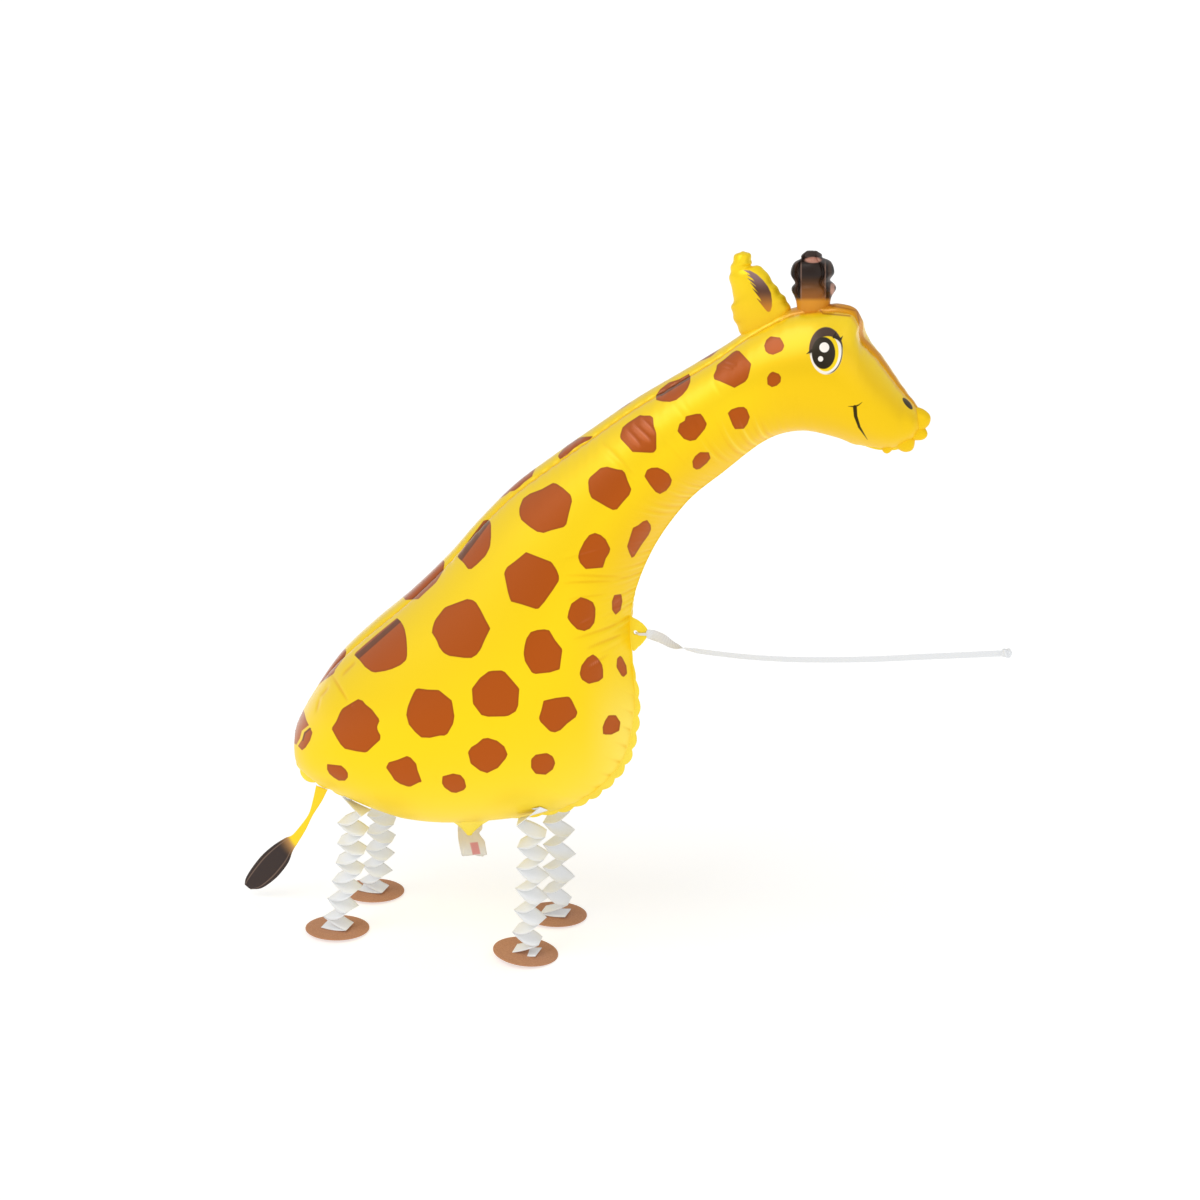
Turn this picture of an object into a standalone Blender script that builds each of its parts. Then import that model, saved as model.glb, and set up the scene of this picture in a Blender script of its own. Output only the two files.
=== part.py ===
"""Giraffe foil balloon on four folded paper legs.

The giraffe faces +X and its right side faces -Y. The floor is z = 0, and the
origin lies under the middle of the whole figure, its ribbon left out.
The balloon is a free form: its outline is a table of shares of its length.
"""
import math

import bmesh
import bpy
import numpy as np
from mathutils import Vector
from mathutils.bvhtree import BVHTree

# Driving dimensions, in metres
BALLOON_LENGTH = 0.609
BELLY_CLEARANCE = 0.103
RUMP_BEHIND_FEET = 0.155
FIT_GAP = 0.0003

# Envelope: the welded edge, the folded gusset and the tab that takes the ribbon
SEAM_FLANGE = 0.004
SEAM_THICKNESS = 0.0012
SEAM_PINCH = 0.0040
SCALLOP_DEPTH = 0.003
SCALLOP_PITCH = 0.017
TAB_HEIGHT = 0.318
TAB_RADIUS = 0.0125
TAB_THICKNESS = 0.0016
EYELET_RADIUS = 0.002
EYELET_FROM_RIM = 0.010
EYELET_FROM_SEAM = 0.005

# Filling valve, a flat film sleeve in the belly seam
VALVE_X = 0.027
VALVE_WIDTH_TOP = 0.027
VALVE_WIDTH_BOTTOM = 0.028
VALVE_LENGTH = 0.028
VALVE_THICKNESS = 0.0024

# Tail, flat foil
TAIL_THICKNESS = 0.0014
TUFT_THICKNESS = 0.0040

# Legs, accordion-folded paper strips, and their card feet
WHEELBASE = 0.194
FOOT_TRACK = 0.092
FOOT_RADIUS = 0.031
FOOT_THICKNESS = 0.0012
STRIP_WIDTH = 0.020
STRIP_THICKNESS = 0.0007
STRIP_REACH = 0.026
LEG_PANELS = 13
LEG_TWIST = 14.0

# Ribbon, flat in reality and a plain round cord here, as wide as the ribbon
RIBBON_WIDTH = 0.0095
RIBBON_STEP = 0.022

# Stations along the balloon, as shares of its length from the rump and from
# the belly: back x, back z, belly x, belly z, half width, half gusset width,
# and how much of the puckered flange stands out there
BODY_STATIONS = (
    (0.000, 0.134, 0.001, 0.094, 0.001, 0.001, 0.5),
    (0.006, 0.144, 0.007, 0.085, 0.002, 0.001, 0.8),
    (0.011, 0.156, 0.011, 0.075, 0.026, 0.008, 1.0),
    (0.018, 0.172, 0.018, 0.062, 0.048, 0.015, 1.0),
    (0.042, 0.211, 0.054, 0.047, 0.088, 0.028, 0.8),
    (0.092, 0.281, 0.125, 0.026, 0.126, 0.038, 0.4),
    (0.147, 0.336, 0.230, 0.015, 0.150, 0.043, 0.3),
    (0.211, 0.392, 0.345, 0.028, 0.160, 0.045, 0.3),
    (0.273, 0.454, 0.464, 0.061, 0.158, 0.045, 0.8),
    (0.322, 0.511, 0.543, 0.134, 0.148, 0.043, 1.0),
    (0.379, 0.570, 0.568, 0.228, 0.133, 0.041, 0.9),
    (0.438, 0.617, 0.562, 0.320, 0.118, 0.038, 0.3),
    (0.501, 0.664, 0.563, 0.398, 0.106, 0.036, 0.2),
    (0.568, 0.713, 0.594, 0.485, 0.094, 0.034, 0.2),
    (0.640, 0.759, 0.645, 0.561, 0.084, 0.033, 0.2),
    (0.698, 0.797, 0.701, 0.612, 0.078, 0.031, 0.2),
    (0.745, 0.830, 0.764, 0.667, 0.076, 0.029, 0.2),
    (0.795, 0.856, 0.815, 0.686, 0.078, 0.028, 0.2),
    (0.839, 0.865, 0.864, 0.679, 0.080, 0.027, 0.2),
    (0.877, 0.859, 0.890, 0.671, 0.078, 0.025, 0.2),
    (0.889, 0.844, 0.903, 0.668, 0.074, 0.023, 0.2),
    (0.896, 0.821, 0.917, 0.665, 0.068, 0.021, 0.3),
    (0.921, 0.795, 0.937, 0.662, 0.059, 0.017, 0.4),
    (0.953, 0.753, 0.962, 0.662, 0.045, 0.012, 0.5),
    (0.976, 0.727, 0.981, 0.673, 0.032, 0.007, 0.5),
    (0.990, 0.711, 0.992, 0.690, 0.012, 0.003, 0.5),
)
RING_SPACING = 0.0105
PUCKERED_RING_SPACING = 0.0058
SIDE_STEPS = 8
GUSSET_STEPS = 6
SHOULDER = 0.010

# Ear and horn rows, from inside the head to the tip, in the same shares:
# rear x, rear z, front x, front z, half thickness
EAR_ROWS = (
    (0.735, 0.800, 0.800, 0.840, 0.018),
    (0.718, 0.826, 0.791, 0.865, 0.021),
    (0.709, 0.851, 0.777, 0.882, 0.021),
    (0.712, 0.869, 0.763, 0.900, 0.019),
    (0.706, 0.889, 0.752, 0.913, 0.017),
    (0.706, 0.905, 0.737, 0.915, 0.013),
    (0.709, 0.918, 0.737, 0.921, 0.015),
    (0.713, 0.929, 0.734, 0.931, 0.011),
    (0.721, 0.934, 0.727, 0.934, 0.003),
)
HORN_ROWS = (
    (0.806, 0.840, 0.850, 0.840, 0.018),
    (0.803, 0.867, 0.852, 0.872, 0.021),
    (0.796, 0.885, 0.859, 0.888, 0.024),
    (0.798, 0.895, 0.852, 0.898, 0.022),
    (0.795, 0.906, 0.856, 0.910, 0.024),
    (0.797, 0.920, 0.852, 0.923, 0.021),
    (0.806, 0.929, 0.844, 0.931, 0.015),
    (0.818, 0.938, 0.834, 0.938, 0.003),
)
FLAP_STEPS = 3
FLAP_SIDES = 14
STRIP_SIDES = 8

# Puckered lobes round the muzzle: x, z, radius
MUZZLE_LOBES = (
    (0.985, 0.709, 0.0150),
    (0.986, 0.688, 0.0105),
    (0.966, 0.674, 0.0130),
    (0.940, 0.664, 0.0085),
)
LOBE_FLATNESS = 0.75

# Tail rows below the rump: upper x, upper z, lower x, lower z, tuft share
TAIL_ROWS = (
    (0.033, 0.043, 0.053, 0.038, 0.0),
    (0.026, 0.016, 0.041, 0.015, 0.0),
    (0.018, -0.008, 0.025, -0.010, 0.0),
    (0.003, -0.030, 0.012, -0.036, 0.0),
    (-0.013, -0.049, -0.003, -0.061, 0.0),
    (-0.026, -0.056, -0.013, -0.077, 0.6),
    (-0.048, -0.072, -0.021, -0.097, 1.0),
    (-0.069, -0.092, -0.033, -0.115, 1.0),
    (-0.087, -0.115, -0.049, -0.133, 0.9),
    (-0.100, -0.136, -0.072, -0.151, 0.6),
    (-0.103, -0.148, -0.092, -0.156, 0.2),
)

# Where each leg is taped to the belly, from the middle of the feet
HIND_LEG_TOP_X = -0.086
FRONT_LEG_TOP_X = 0.097
LEG_TOP_Y = 0.040

# Ribbon route in the centre plane, from the tab to its tied end: x, z
RIBBON_ROUTE = (
    (0.2045, 0.3178),
    (0.216, 0.3145),
    (0.235, 0.3070),
    (0.284, 0.3045),
    (0.329, 0.3055),
    (0.372, 0.3090),
    (0.415, 0.3140),
    (0.456, 0.3200),
    (0.498, 0.3260),
    (0.532, 0.3310),
)


def clear_scene():
    for old in list(bpy.data.objects):
        bpy.data.objects.remove(old, do_unlink=True)


def new_collection(name):
    collection = bpy.data.collections.new(name)
    bpy.context.scene.collection.children.link(collection)
    return collection


def new_material(name, colour, roughness, metallic=0.0):
    material = bpy.data.materials.new(name)
    material.use_nodes = True
    shader = material.node_tree.nodes["Principled BSDF"]
    shader.inputs["Base Color"].default_value = (*colour, 1.0)
    shader.inputs["Roughness"].default_value = roughness
    shader.inputs["Metallic"].default_value = metallic
    return material


def new_object(name, data, collection, material):
    data.materials.append(material)
    thing = bpy.data.objects.new(name, data)
    collection.objects.link(thing)
    return thing


def place(share_x, share_z):
    """Shares of the balloon's length to metres in the centre plane."""
    x = share_x * BALLOON_LENGTH - RUMP_BEHIND_FEET
    z = share_z * BALLOON_LENGTH + BELLY_CLEARANCE
    return x, z


def in_plane(point):
    """Point of the centre plane from its x and z."""
    return Vector((point[0], 0.0, point[1]))


def smooth_rows(rows, steps):
    """Catmull-Rom curve through table rows. steps is the count of rings in
    each span, one number for all spans or a list with one for each."""
    table = np.array(rows, dtype=float)
    padded = np.vstack((2 * table[0] - table[1], table, 2 * table[-1] - table[-2]))
    counts = np.broadcast_to(steps, len(table) - 1)
    out = []
    for i, count in enumerate(counts):
        p0, p1, p2, p3 = padded[i:i + 4]
        for k in range(count):
            t = k / count
            out.append(0.5 * (2 * p1 + (p2 - p0) * t
                              + (2 * p0 - 5 * p1 + 4 * p2 - p3) * t ** 2
                              + (3 * p1 - p0 - 3 * p2 + p3) * t ** 3))
    out.append(table[-1])
    return np.array(out)


def body_rows():
    """Body stations at even steps, closer where the flange is puckered."""
    table = np.array(BODY_STATIONS) * BALLOON_LENGTH
    back = np.hypot(*np.diff(table[:, 0:2], axis=0).T)
    belly = np.hypot(*np.diff(table[:, 2:4], axis=0).T)
    flange = np.array(BODY_STATIONS)[:, 6]
    puckered = (flange[:-1] + flange[1:]) / 2 > 0.6
    counts = np.where(puckered, np.maximum(back / RING_SPACING, belly / PUCKERED_RING_SPACING),
                      np.maximum(back, belly) / RING_SPACING)
    return smooth_rows(BODY_STATIONS, np.ceil(counts).astype(int))


def mesh_from_rings(name, rings):
    """Skin closed rings of equal count, and close both ends."""
    mesh = bpy.data.meshes.new(name)
    count = len(rings[0])
    points = [point for ring in rings for point in ring]
    faces = []
    for i in range(len(rings) - 1):
        for j in range(count):
            k = (j + 1) % count
            faces.append((i * count + j, i * count + k,
                          (i + 1) * count + k, (i + 1) * count + j))
    faces.append(tuple(reversed(range(count))))
    faces.append(tuple(range((len(rings) - 1) * count, len(rings) * count)))
    mesh.from_pydata(points, [], faces)
    shell = bmesh.new()
    shell.from_mesh(mesh)
    bmesh.ops.recalc_face_normals(shell, faces=shell.faces)
    shell.to_mesh(mesh)
    shell.free()
    mesh.shade_smooth()
    mesh.set_sharp_from_angle(angle=math.radians(50))
    return mesh


def body_ring(back, belly, half_width, half_gusset, flange_tip):
    """One cross-section: flange, side panel, seam valley, gusset and back down."""
    up = (back - belly).normalized()
    half_height = (back - belly).length / 2
    half_gusset = min(half_gusset, 0.85 * half_width)
    first = math.asin(min(SEAM_THICKNESS / 2 / half_width, 0.5))
    last = math.pi - math.asin(half_gusset / half_width)
    shoulder = last - min(SHOULDER / half_width, 0.25)
    half = []
    for angle in [*np.linspace(first, shoulder, SIDE_STEPS - 1), last]:
        half.append((half_height * (1 - math.cos(angle)), half_width * math.sin(angle)))
    pinch = min(SEAM_PINCH, 0.3 * half_gusset)
    seam_up = half[-1][0] - pinch
    seam_y = half[-1][1] - pinch / 3
    half[-1] = (seam_up, seam_y)
    crown = 2 * half_height
    for k in range(1, GUSSET_STEPS // 2):
        share = 1 - 2 * k / GUSSET_STEPS
        half.append((seam_up + (crown - seam_up) * math.sqrt(1 - share ** 2), seam_y * share))
    ring = [(u, -y) for u, y in half] + [(crown, 0.0)] + [(u, y) for u, y in reversed(half)]
    edge = Vector((0.0, SEAM_THICKNESS / 2, 0.0))
    return ([flange_tip - edge] + [belly + up * u + Vector((0.0, y, 0.0)) for u, y in ring]
            + [flange_tip + edge])


def scallop(run):
    """Flange depth along the belly seam, puckered into small round lobes."""
    return SEAM_FLANGE + SCALLOP_DEPTH * abs(math.sin(math.pi * run / SCALLOP_PITCH))


def flange_tips(backs, bellies, shares):
    """Outer edge of the flange, square to the run of the belly seam."""
    runs = np.diff(bellies, axis=0, prepend=bellies[:1], append=bellies[-1:])
    tangents = runs[:-1] + runs[1:]
    normals = np.stack((tangents[:, 1], -tangents[:, 0]), axis=1)
    normals /= np.linalg.norm(normals, axis=1)[:, None]
    outward = np.sign(np.sum(normals * (bellies - backs), axis=1))
    along = np.cumsum(np.hypot(runs[:-1, 0], runs[:-1, 1]))
    depths = np.array([scallop(run) for run in along]) * shares
    return bellies + normals * (outward * depths)[:, None]


def make_body():
    rows = body_rows()
    backs = np.stack(place(rows[:, 0], rows[:, 1]), axis=1)
    bellies = np.stack(place(rows[:, 2], rows[:, 3]), axis=1)
    tips = flange_tips(backs, bellies, rows[:, 6])
    rings = []
    for row, back, belly, tip in zip(rows, backs, bellies, tips):
        width = max(row[4] * BALLOON_LENGTH, SEAM_THICKNESS)
        gusset = row[5] * BALLOON_LENGTH
        rings.append(body_ring(in_plane(back), in_plane(belly), width, gusset, in_plane(tip)))
    return mesh_from_rings("balloon_body", rings)


def flap_ring(rear, front, half_thickness, sides):
    """Oval ring between two points of the centre plane."""
    middle = (rear + front) / 2
    reach = (front - rear) / 2
    ring = []
    for k in range(sides):
        angle = 2 * math.pi * k / sides
        side = Vector((0.0, half_thickness * math.sin(angle), 0.0))
        ring.append(middle + reach * math.cos(angle) + side)
    return ring


def make_flap(name, rows):
    """Inflated flap in the centre plane, such as the ear."""
    rings = []
    for row in smooth_rows(rows, FLAP_STEPS):
        rear = in_plane(place(row[0], row[1]))
        front = in_plane(place(row[2], row[3]))
        rings.append(flap_ring(rear, front, max(row[4], 0.002) * BALLOON_LENGTH, FLAP_SIDES))
    return mesh_from_rings(name, rings)


def make_lobe(name, row):
    """Small round pucker of the foil at the muzzle."""
    x, z = place(row[0], row[1])
    radius = row[2] * BALLOON_LENGTH
    mesh = bpy.data.meshes.new(name)
    shell = bmesh.new()
    bmesh.ops.create_uvsphere(shell, u_segments=12, v_segments=8, radius=radius)
    bmesh.ops.scale(shell, vec=(1.0, LOBE_FLATNESS, 1.0), verts=shell.verts)
    bmesh.ops.translate(shell, vec=(x, 0.0, z), verts=shell.verts)
    shell.to_mesh(mesh)
    shell.free()
    return mesh


def round_plate(name, centre, radius, thickness, axis, segments):
    """Flat disc with its axis along Y or Z."""
    mesh = bpy.data.meshes.new(name)
    shell = bmesh.new()
    bmesh.ops.create_cone(shell, cap_ends=True, segments=segments,
                          radius1=radius, radius2=radius, depth=thickness)
    if axis == "Y":
        turn = Vector((0.0, 0.0, 1.0)).rotation_difference(Vector((0.0, 1.0, 0.0)))
        bmesh.ops.rotate(shell, verts=shell.verts, matrix=turn.to_matrix())
    bmesh.ops.translate(shell, vec=centre, verts=shell.verts)
    shell.to_mesh(mesh)
    shell.free()
    return mesh


def eyelet_place():
    """Centre of the eyelet, just outside the chest seam at the tab's height."""
    rows = body_rows()
    xs, zs = place(rows[:, 2], rows[:, 3])
    rising = slice(int(np.argmin(zs)), int(np.argmax(zs)))
    seam_x = float(np.interp(TAB_HEIGHT, zs[rising], xs[rising]))
    return Vector((seam_x + EYELET_FROM_SEAM, 0.0, TAB_HEIGHT))


def add_cutter(thing, cutter, operation):
    cutter.hide_render = True
    cutter.display_type = "WIRE"
    step = thing.modifiers.new(cutter.name, "BOOLEAN")
    step.operation = operation
    step.solver = "EXACT"
    step.object = cutter


def surface_tree(thing):
    """Search tree of an object's finished surface."""
    depsgraph = bpy.context.evaluated_depsgraph_get()
    return BVHTree.FromObject(thing, depsgraph)


def drop_to_underside(tree, x, y):
    """Point and normal where a ray from the floor first meets the balloon."""
    hit, normal, _, _ = tree.ray_cast(Vector((x, y, -0.5)), Vector((0.0, 0.0, 1.0)))
    return hit, normal


def flat_strip(name, rows):
    """Loft a thin flat piece through rows of rear point, front point, half thickness."""
    return mesh_from_rings(name, [flap_ring(*row, STRIP_SIDES) for row in rows])


def hang_row(tree, x_rear, x_front):
    """Two points just below the seam, a straight line clear of it all the way."""
    reach = np.linspace(x_rear, x_front, 9)
    heights = [drop_to_underside(tree, float(x), 0.0)[0].z for x in reach]
    slope = (heights[-1] - heights[0]) / (x_front - x_rear)
    sag = min(z - heights[0] - slope * (x - x_rear) for x, z in zip(reach, heights))
    base = heights[0] + min(sag, 0.0) - FIT_GAP
    return (Vector((x_rear, 0.0, base)),
            Vector((x_front, 0.0, base + slope * (x_front - x_rear))))


def make_valve(tree):
    top_rear, top_front = hang_row(tree, VALVE_X - VALVE_WIDTH_TOP / 2,
                                   VALVE_X + VALVE_WIDTH_TOP / 2)
    down = Vector((0.0, 0.0, -VALVE_LENGTH))
    middle = (top_rear + top_front) / 2
    spread = Vector((VALVE_WIDTH_BOTTOM / 2, 0.0, 0.0))
    half = VALVE_THICKNESS / 2
    rows = [(top_rear, top_front, half)]
    for share in (0.35, 0.7, 1.0):
        waist = 1 - 0.12 * math.sin(math.pi * share)
        rows.append((middle - spread * waist + down * share,
                     middle + spread * waist + down * share, half))
    return flat_strip("valve_neck", rows)


def make_tail(tree):
    table = smooth_rows(TAIL_ROWS[1:], FLAP_STEPS)
    first = TAIL_ROWS[0]
    root = hang_row(tree, place(first[0], 0)[0], place(first[2], 0)[0])
    rows = [(*root, TAIL_THICKNESS / 2)]
    for row in table:
        rear = in_plane(place(row[0], row[1]))
        front = in_plane(place(row[2], row[3]))
        tuft = min(max(row[4], 0.0), 1.0)
        half = (TAIL_THICKNESS + (TUFT_THICKNESS - TAIL_THICKNESS) * tuft) / 2
        rows.append((rear, front, half))
    return flat_strip("tail", rows)


def strip_surface(name, rows):
    """Open folded surface of pairs of edge points."""
    mesh = bpy.data.meshes.new(name)
    points = [point for pair in rows for point in pair]
    faces = [(2 * i, 2 * i + 2, 2 * i + 3, 2 * i + 1) for i in range(len(rows) - 1)]
    mesh.from_pydata(points, [], faces)
    return mesh


def leg_rows(top, normal, foot, heading):
    """Fold lines of one accordion leg, from its taped top panel to its foot."""
    across = Vector((0.0, STRIP_WIDTH / 2, 0.0))
    slope = Vector((1.0, 0.0, 0.0)) - normal * normal.x
    slope = slope.normalized() * STRIP_REACH / 2
    lie = across - normal * across.dot(normal)
    rows = [(top - slope * heading - lie, top - slope * heading + lie),
            (top + slope * heading - lie, top + slope * heading + lie)]
    side = -heading
    rise = foot.z
    for k in range(1, LEG_PANELS):
        share = k / LEG_PANELS
        turn = math.radians(LEG_TWIST) * math.sin(2 * math.pi * share + heading)
        centre = top.lerp(foot, share)
        reach = Vector((math.cos(turn), math.sin(turn), 0.0)) * side * STRIP_REACH / 2
        edge = Vector((-math.sin(turn), math.cos(turn), 0.0)) * STRIP_WIDTH / 2
        rows.append((centre + reach - edge, centre + reach + edge))
        side = -side
    reach = Vector((STRIP_REACH / 2, 0.0, 0.0)) * side
    for sign in (1, -1):
        end = Vector((foot.x, foot.y, rise)) + reach * sign
        rows.append((end - across, end + across))
    return rows


def make_leg(name, tree, top_x, side_y, foot, heading, collection, material):
    hit, normal = drop_to_underside(tree, top_x, side_y)
    top = hit + normal * (FIT_GAP + STRIP_THICKNESS)
    rows = leg_rows(top, normal, foot, heading)
    leg = new_object(name, strip_surface(name, rows), collection, material)
    paper = leg.modifiers.new("paper", "SOLIDIFY")
    paper.thickness = STRIP_THICKNESS
    paper.offset = 0.0
    return leg


def ribbon_points():
    """Smooth route read at even steps."""
    dense = smooth_rows(RIBBON_ROUTE, 24)
    steps = np.hypot(*np.diff(dense, axis=0).T)
    along = np.concatenate(([0.0], np.cumsum(steps)))
    count = int(round(along[-1] / RIBBON_STEP)) + 1
    want = np.linspace(0.0, along[-1], count)
    return np.stack((np.interp(want, along, dense[:, 0]),
                     np.interp(want, along, dense[:, 1])), axis=1)


def make_ribbon(collection, material):
    curve = bpy.data.curves.new("ribbon", "CURVE")
    curve.dimensions = "3D"
    curve.bevel_depth = RIBBON_WIDTH / 2
    curve.bevel_resolution = 2
    curve.use_fill_caps = True
    points = ribbon_points()
    line = curve.splines.new("POLY")
    line.points.add(len(points) - 1)
    for target, (x, z) in zip(line.points, points):
        target.co = (x, 0.0, z, 1.0)
    return new_object("ribbon", curve, collection, material)


def stand_on_origin(things, parent):
    """Move the whole figure so that its footprint is centred on the origin."""
    bpy.context.view_layer.update()
    depsgraph = bpy.context.evaluated_depsgraph_get()
    low = math.inf
    high = -math.inf
    for thing in things:
        shape = thing.evaluated_get(depsgraph).to_mesh()
        xs = [vertex.co.x for vertex in shape.vertices]
        low = min(low, min(xs))
        high = max(high, max(xs))
    parent.location.x = -(low + high) / 2


def main():
    clear_scene()
    parts = new_collection("giraffe_foil_balloon")
    cutters = new_collection("cutters")
    foil = new_material("yellow foil", (1.0, 0.75, 0.03), 0.3)
    film = new_material("valve film", (0.85, 0.78, 0.62), 0.4)
    dark = new_material("tail foil", (0.08, 0.05, 0.03), 0.35)
    paper = new_material("white paper", (0.88, 0.88, 0.86), 0.8)
    card = new_material("brown card", (0.52, 0.26, 0.13), 0.75)
    satin = new_material("white ribbon", (0.80, 0.80, 0.78), 0.5)

    body = new_object("balloon_body", make_body(), parts, foil)
    ear = new_object("ear", make_flap("ear", EAR_ROWS), cutters, foil)
    horn = new_object("horn", make_flap("horn", HORN_ROWS), cutters, foil)
    add_cutter(body, ear, "UNION")
    add_cutter(body, horn, "UNION")
    for number, row in enumerate(MUZZLE_LOBES, start=1):
        name = f"muzzle_lobe_{number}"
        add_cutter(body, new_object(name, make_lobe(name, row), cutters, foil), "UNION")
    eyelet = eyelet_place()
    tab_centre = eyelet + Vector((EYELET_FROM_RIM - TAB_RADIUS, 0.0, 0.0))
    tab = round_plate("tab", tab_centre, TAB_RADIUS, TAB_THICKNESS, "Y", 24)
    add_cutter(body, new_object("tab", tab, cutters, foil), "UNION")
    hole = round_plate("eyelet", eyelet, EYELET_RADIUS, 4 * TAB_THICKNESS, "Y", 12)
    add_cutter(body, new_object("eyelet", hole, cutters, foil), "DIFFERENCE")

    bpy.context.view_layer.update()
    tree = surface_tree(body)
    valve = new_object("valve_neck", make_valve(tree), parts, film)
    tail = new_object("tail", make_tail(tree), parts, dark)

    standing = [body, valve, tail]
    for end, foot_x, top_x in (("front", WHEELBASE / 2, FRONT_LEG_TOP_X),
                               ("hind", -WHEELBASE / 2, HIND_LEG_TOP_X)):
        for side, sign in (("right", -1), ("left", 1)):
            foot_y = sign * FOOT_TRACK / 2
            disc = round_plate(f"foot_{end}_{side}", (foot_x, foot_y, FOOT_THICKNESS / 2),
                               FOOT_RADIUS, FOOT_THICKNESS, "Z", 40)
            standing.append(new_object(f"foot_{end}_{side}", disc, parts, card))
            sole = FOOT_THICKNESS + FIT_GAP + STRIP_THICKNESS / 2
            foot = Vector((foot_x, foot_y, sole))
            heading = 1 if side == "right" else -1
            standing.append(make_leg(f"leg_{end}_{side}", tree, top_x, sign * LEG_TOP_Y,
                                     foot, heading, parts, paper))
    ribbon = make_ribbon(parts, satin)

    anchor = bpy.data.objects.new("giraffe", None)
    parts.objects.link(anchor)
    stand_on_origin(standing, anchor)
    for thing in list(parts.objects) + list(cutters.objects):
        if thing is not anchor:
            thing.parent = anchor
    length = np.hypot(*np.diff(ribbon_points(), axis=0).T).sum()
    print(f"{ribbon.name} is {length:.4f} m long, figure moved by {anchor.location.x:.5f} m")


main()
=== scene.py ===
# %% [markdown]
# # Giraffe foil balloon
# A helium balloon in the shape of a giraffe, led on a ribbon and steadied by four folded paper
# legs on card feet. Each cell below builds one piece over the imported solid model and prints
# what it measured. Lengths are in metres, +X is the way the giraffe looks and +Z is up.

import math

import bpy
import numpy as np
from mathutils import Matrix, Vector
from mathutils.bvhtree import BVHTree


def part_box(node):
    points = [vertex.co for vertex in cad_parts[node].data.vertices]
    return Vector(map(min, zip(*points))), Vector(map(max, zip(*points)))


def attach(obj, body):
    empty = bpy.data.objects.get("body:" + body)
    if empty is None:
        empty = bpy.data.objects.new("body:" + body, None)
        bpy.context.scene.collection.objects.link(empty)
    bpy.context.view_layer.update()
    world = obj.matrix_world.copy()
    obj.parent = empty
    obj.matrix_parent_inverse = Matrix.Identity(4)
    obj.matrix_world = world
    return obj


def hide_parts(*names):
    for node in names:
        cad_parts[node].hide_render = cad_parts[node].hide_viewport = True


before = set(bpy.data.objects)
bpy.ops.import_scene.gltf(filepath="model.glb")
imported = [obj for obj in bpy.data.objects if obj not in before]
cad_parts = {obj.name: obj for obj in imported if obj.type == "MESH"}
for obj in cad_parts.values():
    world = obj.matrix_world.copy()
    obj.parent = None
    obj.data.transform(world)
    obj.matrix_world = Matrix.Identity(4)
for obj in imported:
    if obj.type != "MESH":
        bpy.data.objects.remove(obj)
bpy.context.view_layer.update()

# %% [markdown]
# ## Camera first
# The printed spots and the face are placed as the photograph shows them, so the camera is
# fixed before any surface. A pinhole camera is enough: a point's picture place is its side-
# and up-distance from the view axis, over its depth, times the focal length in pixels.
# The angles come from the ellipses of the round feet and the length of the body.

# %% Camera
PICTURE_SIZE = 1200
CAMERA_AZIMUTH = math.radians(17.0)
CAMERA_ELEVATION = math.radians(17.0)
CAMERA_DISTANCE = 2.1
CAMERA_TARGET = np.array((0.0389, 0.0, 0.346))
FOCAL_MM = 68.48
SENSOR_MM = 36.0

towards_camera = np.array((
    math.sin(CAMERA_AZIMUTH) * math.cos(CAMERA_ELEVATION),
    -math.cos(CAMERA_AZIMUTH) * math.cos(CAMERA_ELEVATION),
    math.sin(CAMERA_ELEVATION),
))
picture_right = np.array((math.cos(CAMERA_AZIMUTH), math.sin(CAMERA_AZIMUTH), 0.0))
picture_up = np.cross(towards_camera, picture_right)
eye_point = CAMERA_TARGET + CAMERA_DISTANCE * towards_camera

lens = bpy.data.cameras.new("photo_camera")
lens.lens = FOCAL_MM
lens.sensor_width = SENSOR_MM
photo_camera = bpy.data.objects.new("photo_camera", lens)
bpy.context.scene.collection.objects.link(photo_camera)
photo_camera.location = eye_point
photo_camera.rotation_euler = Vector(towards_camera).to_track_quat("Z", "Y").to_euler()
bpy.context.scene.camera = photo_camera
print("camera at", np.round(eye_point, 3))


def photo_place(points):
    """Picture x and y, in pixels of a 1200 pixel square, of points in metres."""
    reach = np.asarray(points) - eye_point
    depth = -reach @ towards_camera
    scale = FOCAL_MM / SENSOR_MM * PICTURE_SIZE / depth
    across = PICTURE_SIZE / 2 + (reach @ picture_right) * scale
    down = PICTURE_SIZE / 2 - (reach @ picture_up) * scale
    return np.stack((across, down), axis=-1)


def print_place(points):
    """Picture place of the near twin of each point, so that both sides carry the same print."""
    near = np.array(points, dtype=float)
    near[..., 1] = -np.abs(near[..., 1])
    return photo_place(near)


# %% [markdown]
# ## Shader arithmetic
# A node tree is hard to read. Small wrappers let a colour or a mask be written as a formula,
# and each operator adds one node. Colours are typed as they look on a screen, and `paint`
# turns them into the linear values that a renderer works with.

# %% Shader arithmetic
def paint(red, green, blue):
    """Linear colour from screen values of 0 to 255: ((s + 0.055) / 1.055) ^ 2.4."""
    share = np.array((red, green, blue)) / 255.0
    linear = np.where(share <= 0.04045, share / 12.92, ((share + 0.055) / 1.055) ** 2.4)
    return tuple(float(value) for value in linear)


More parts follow.
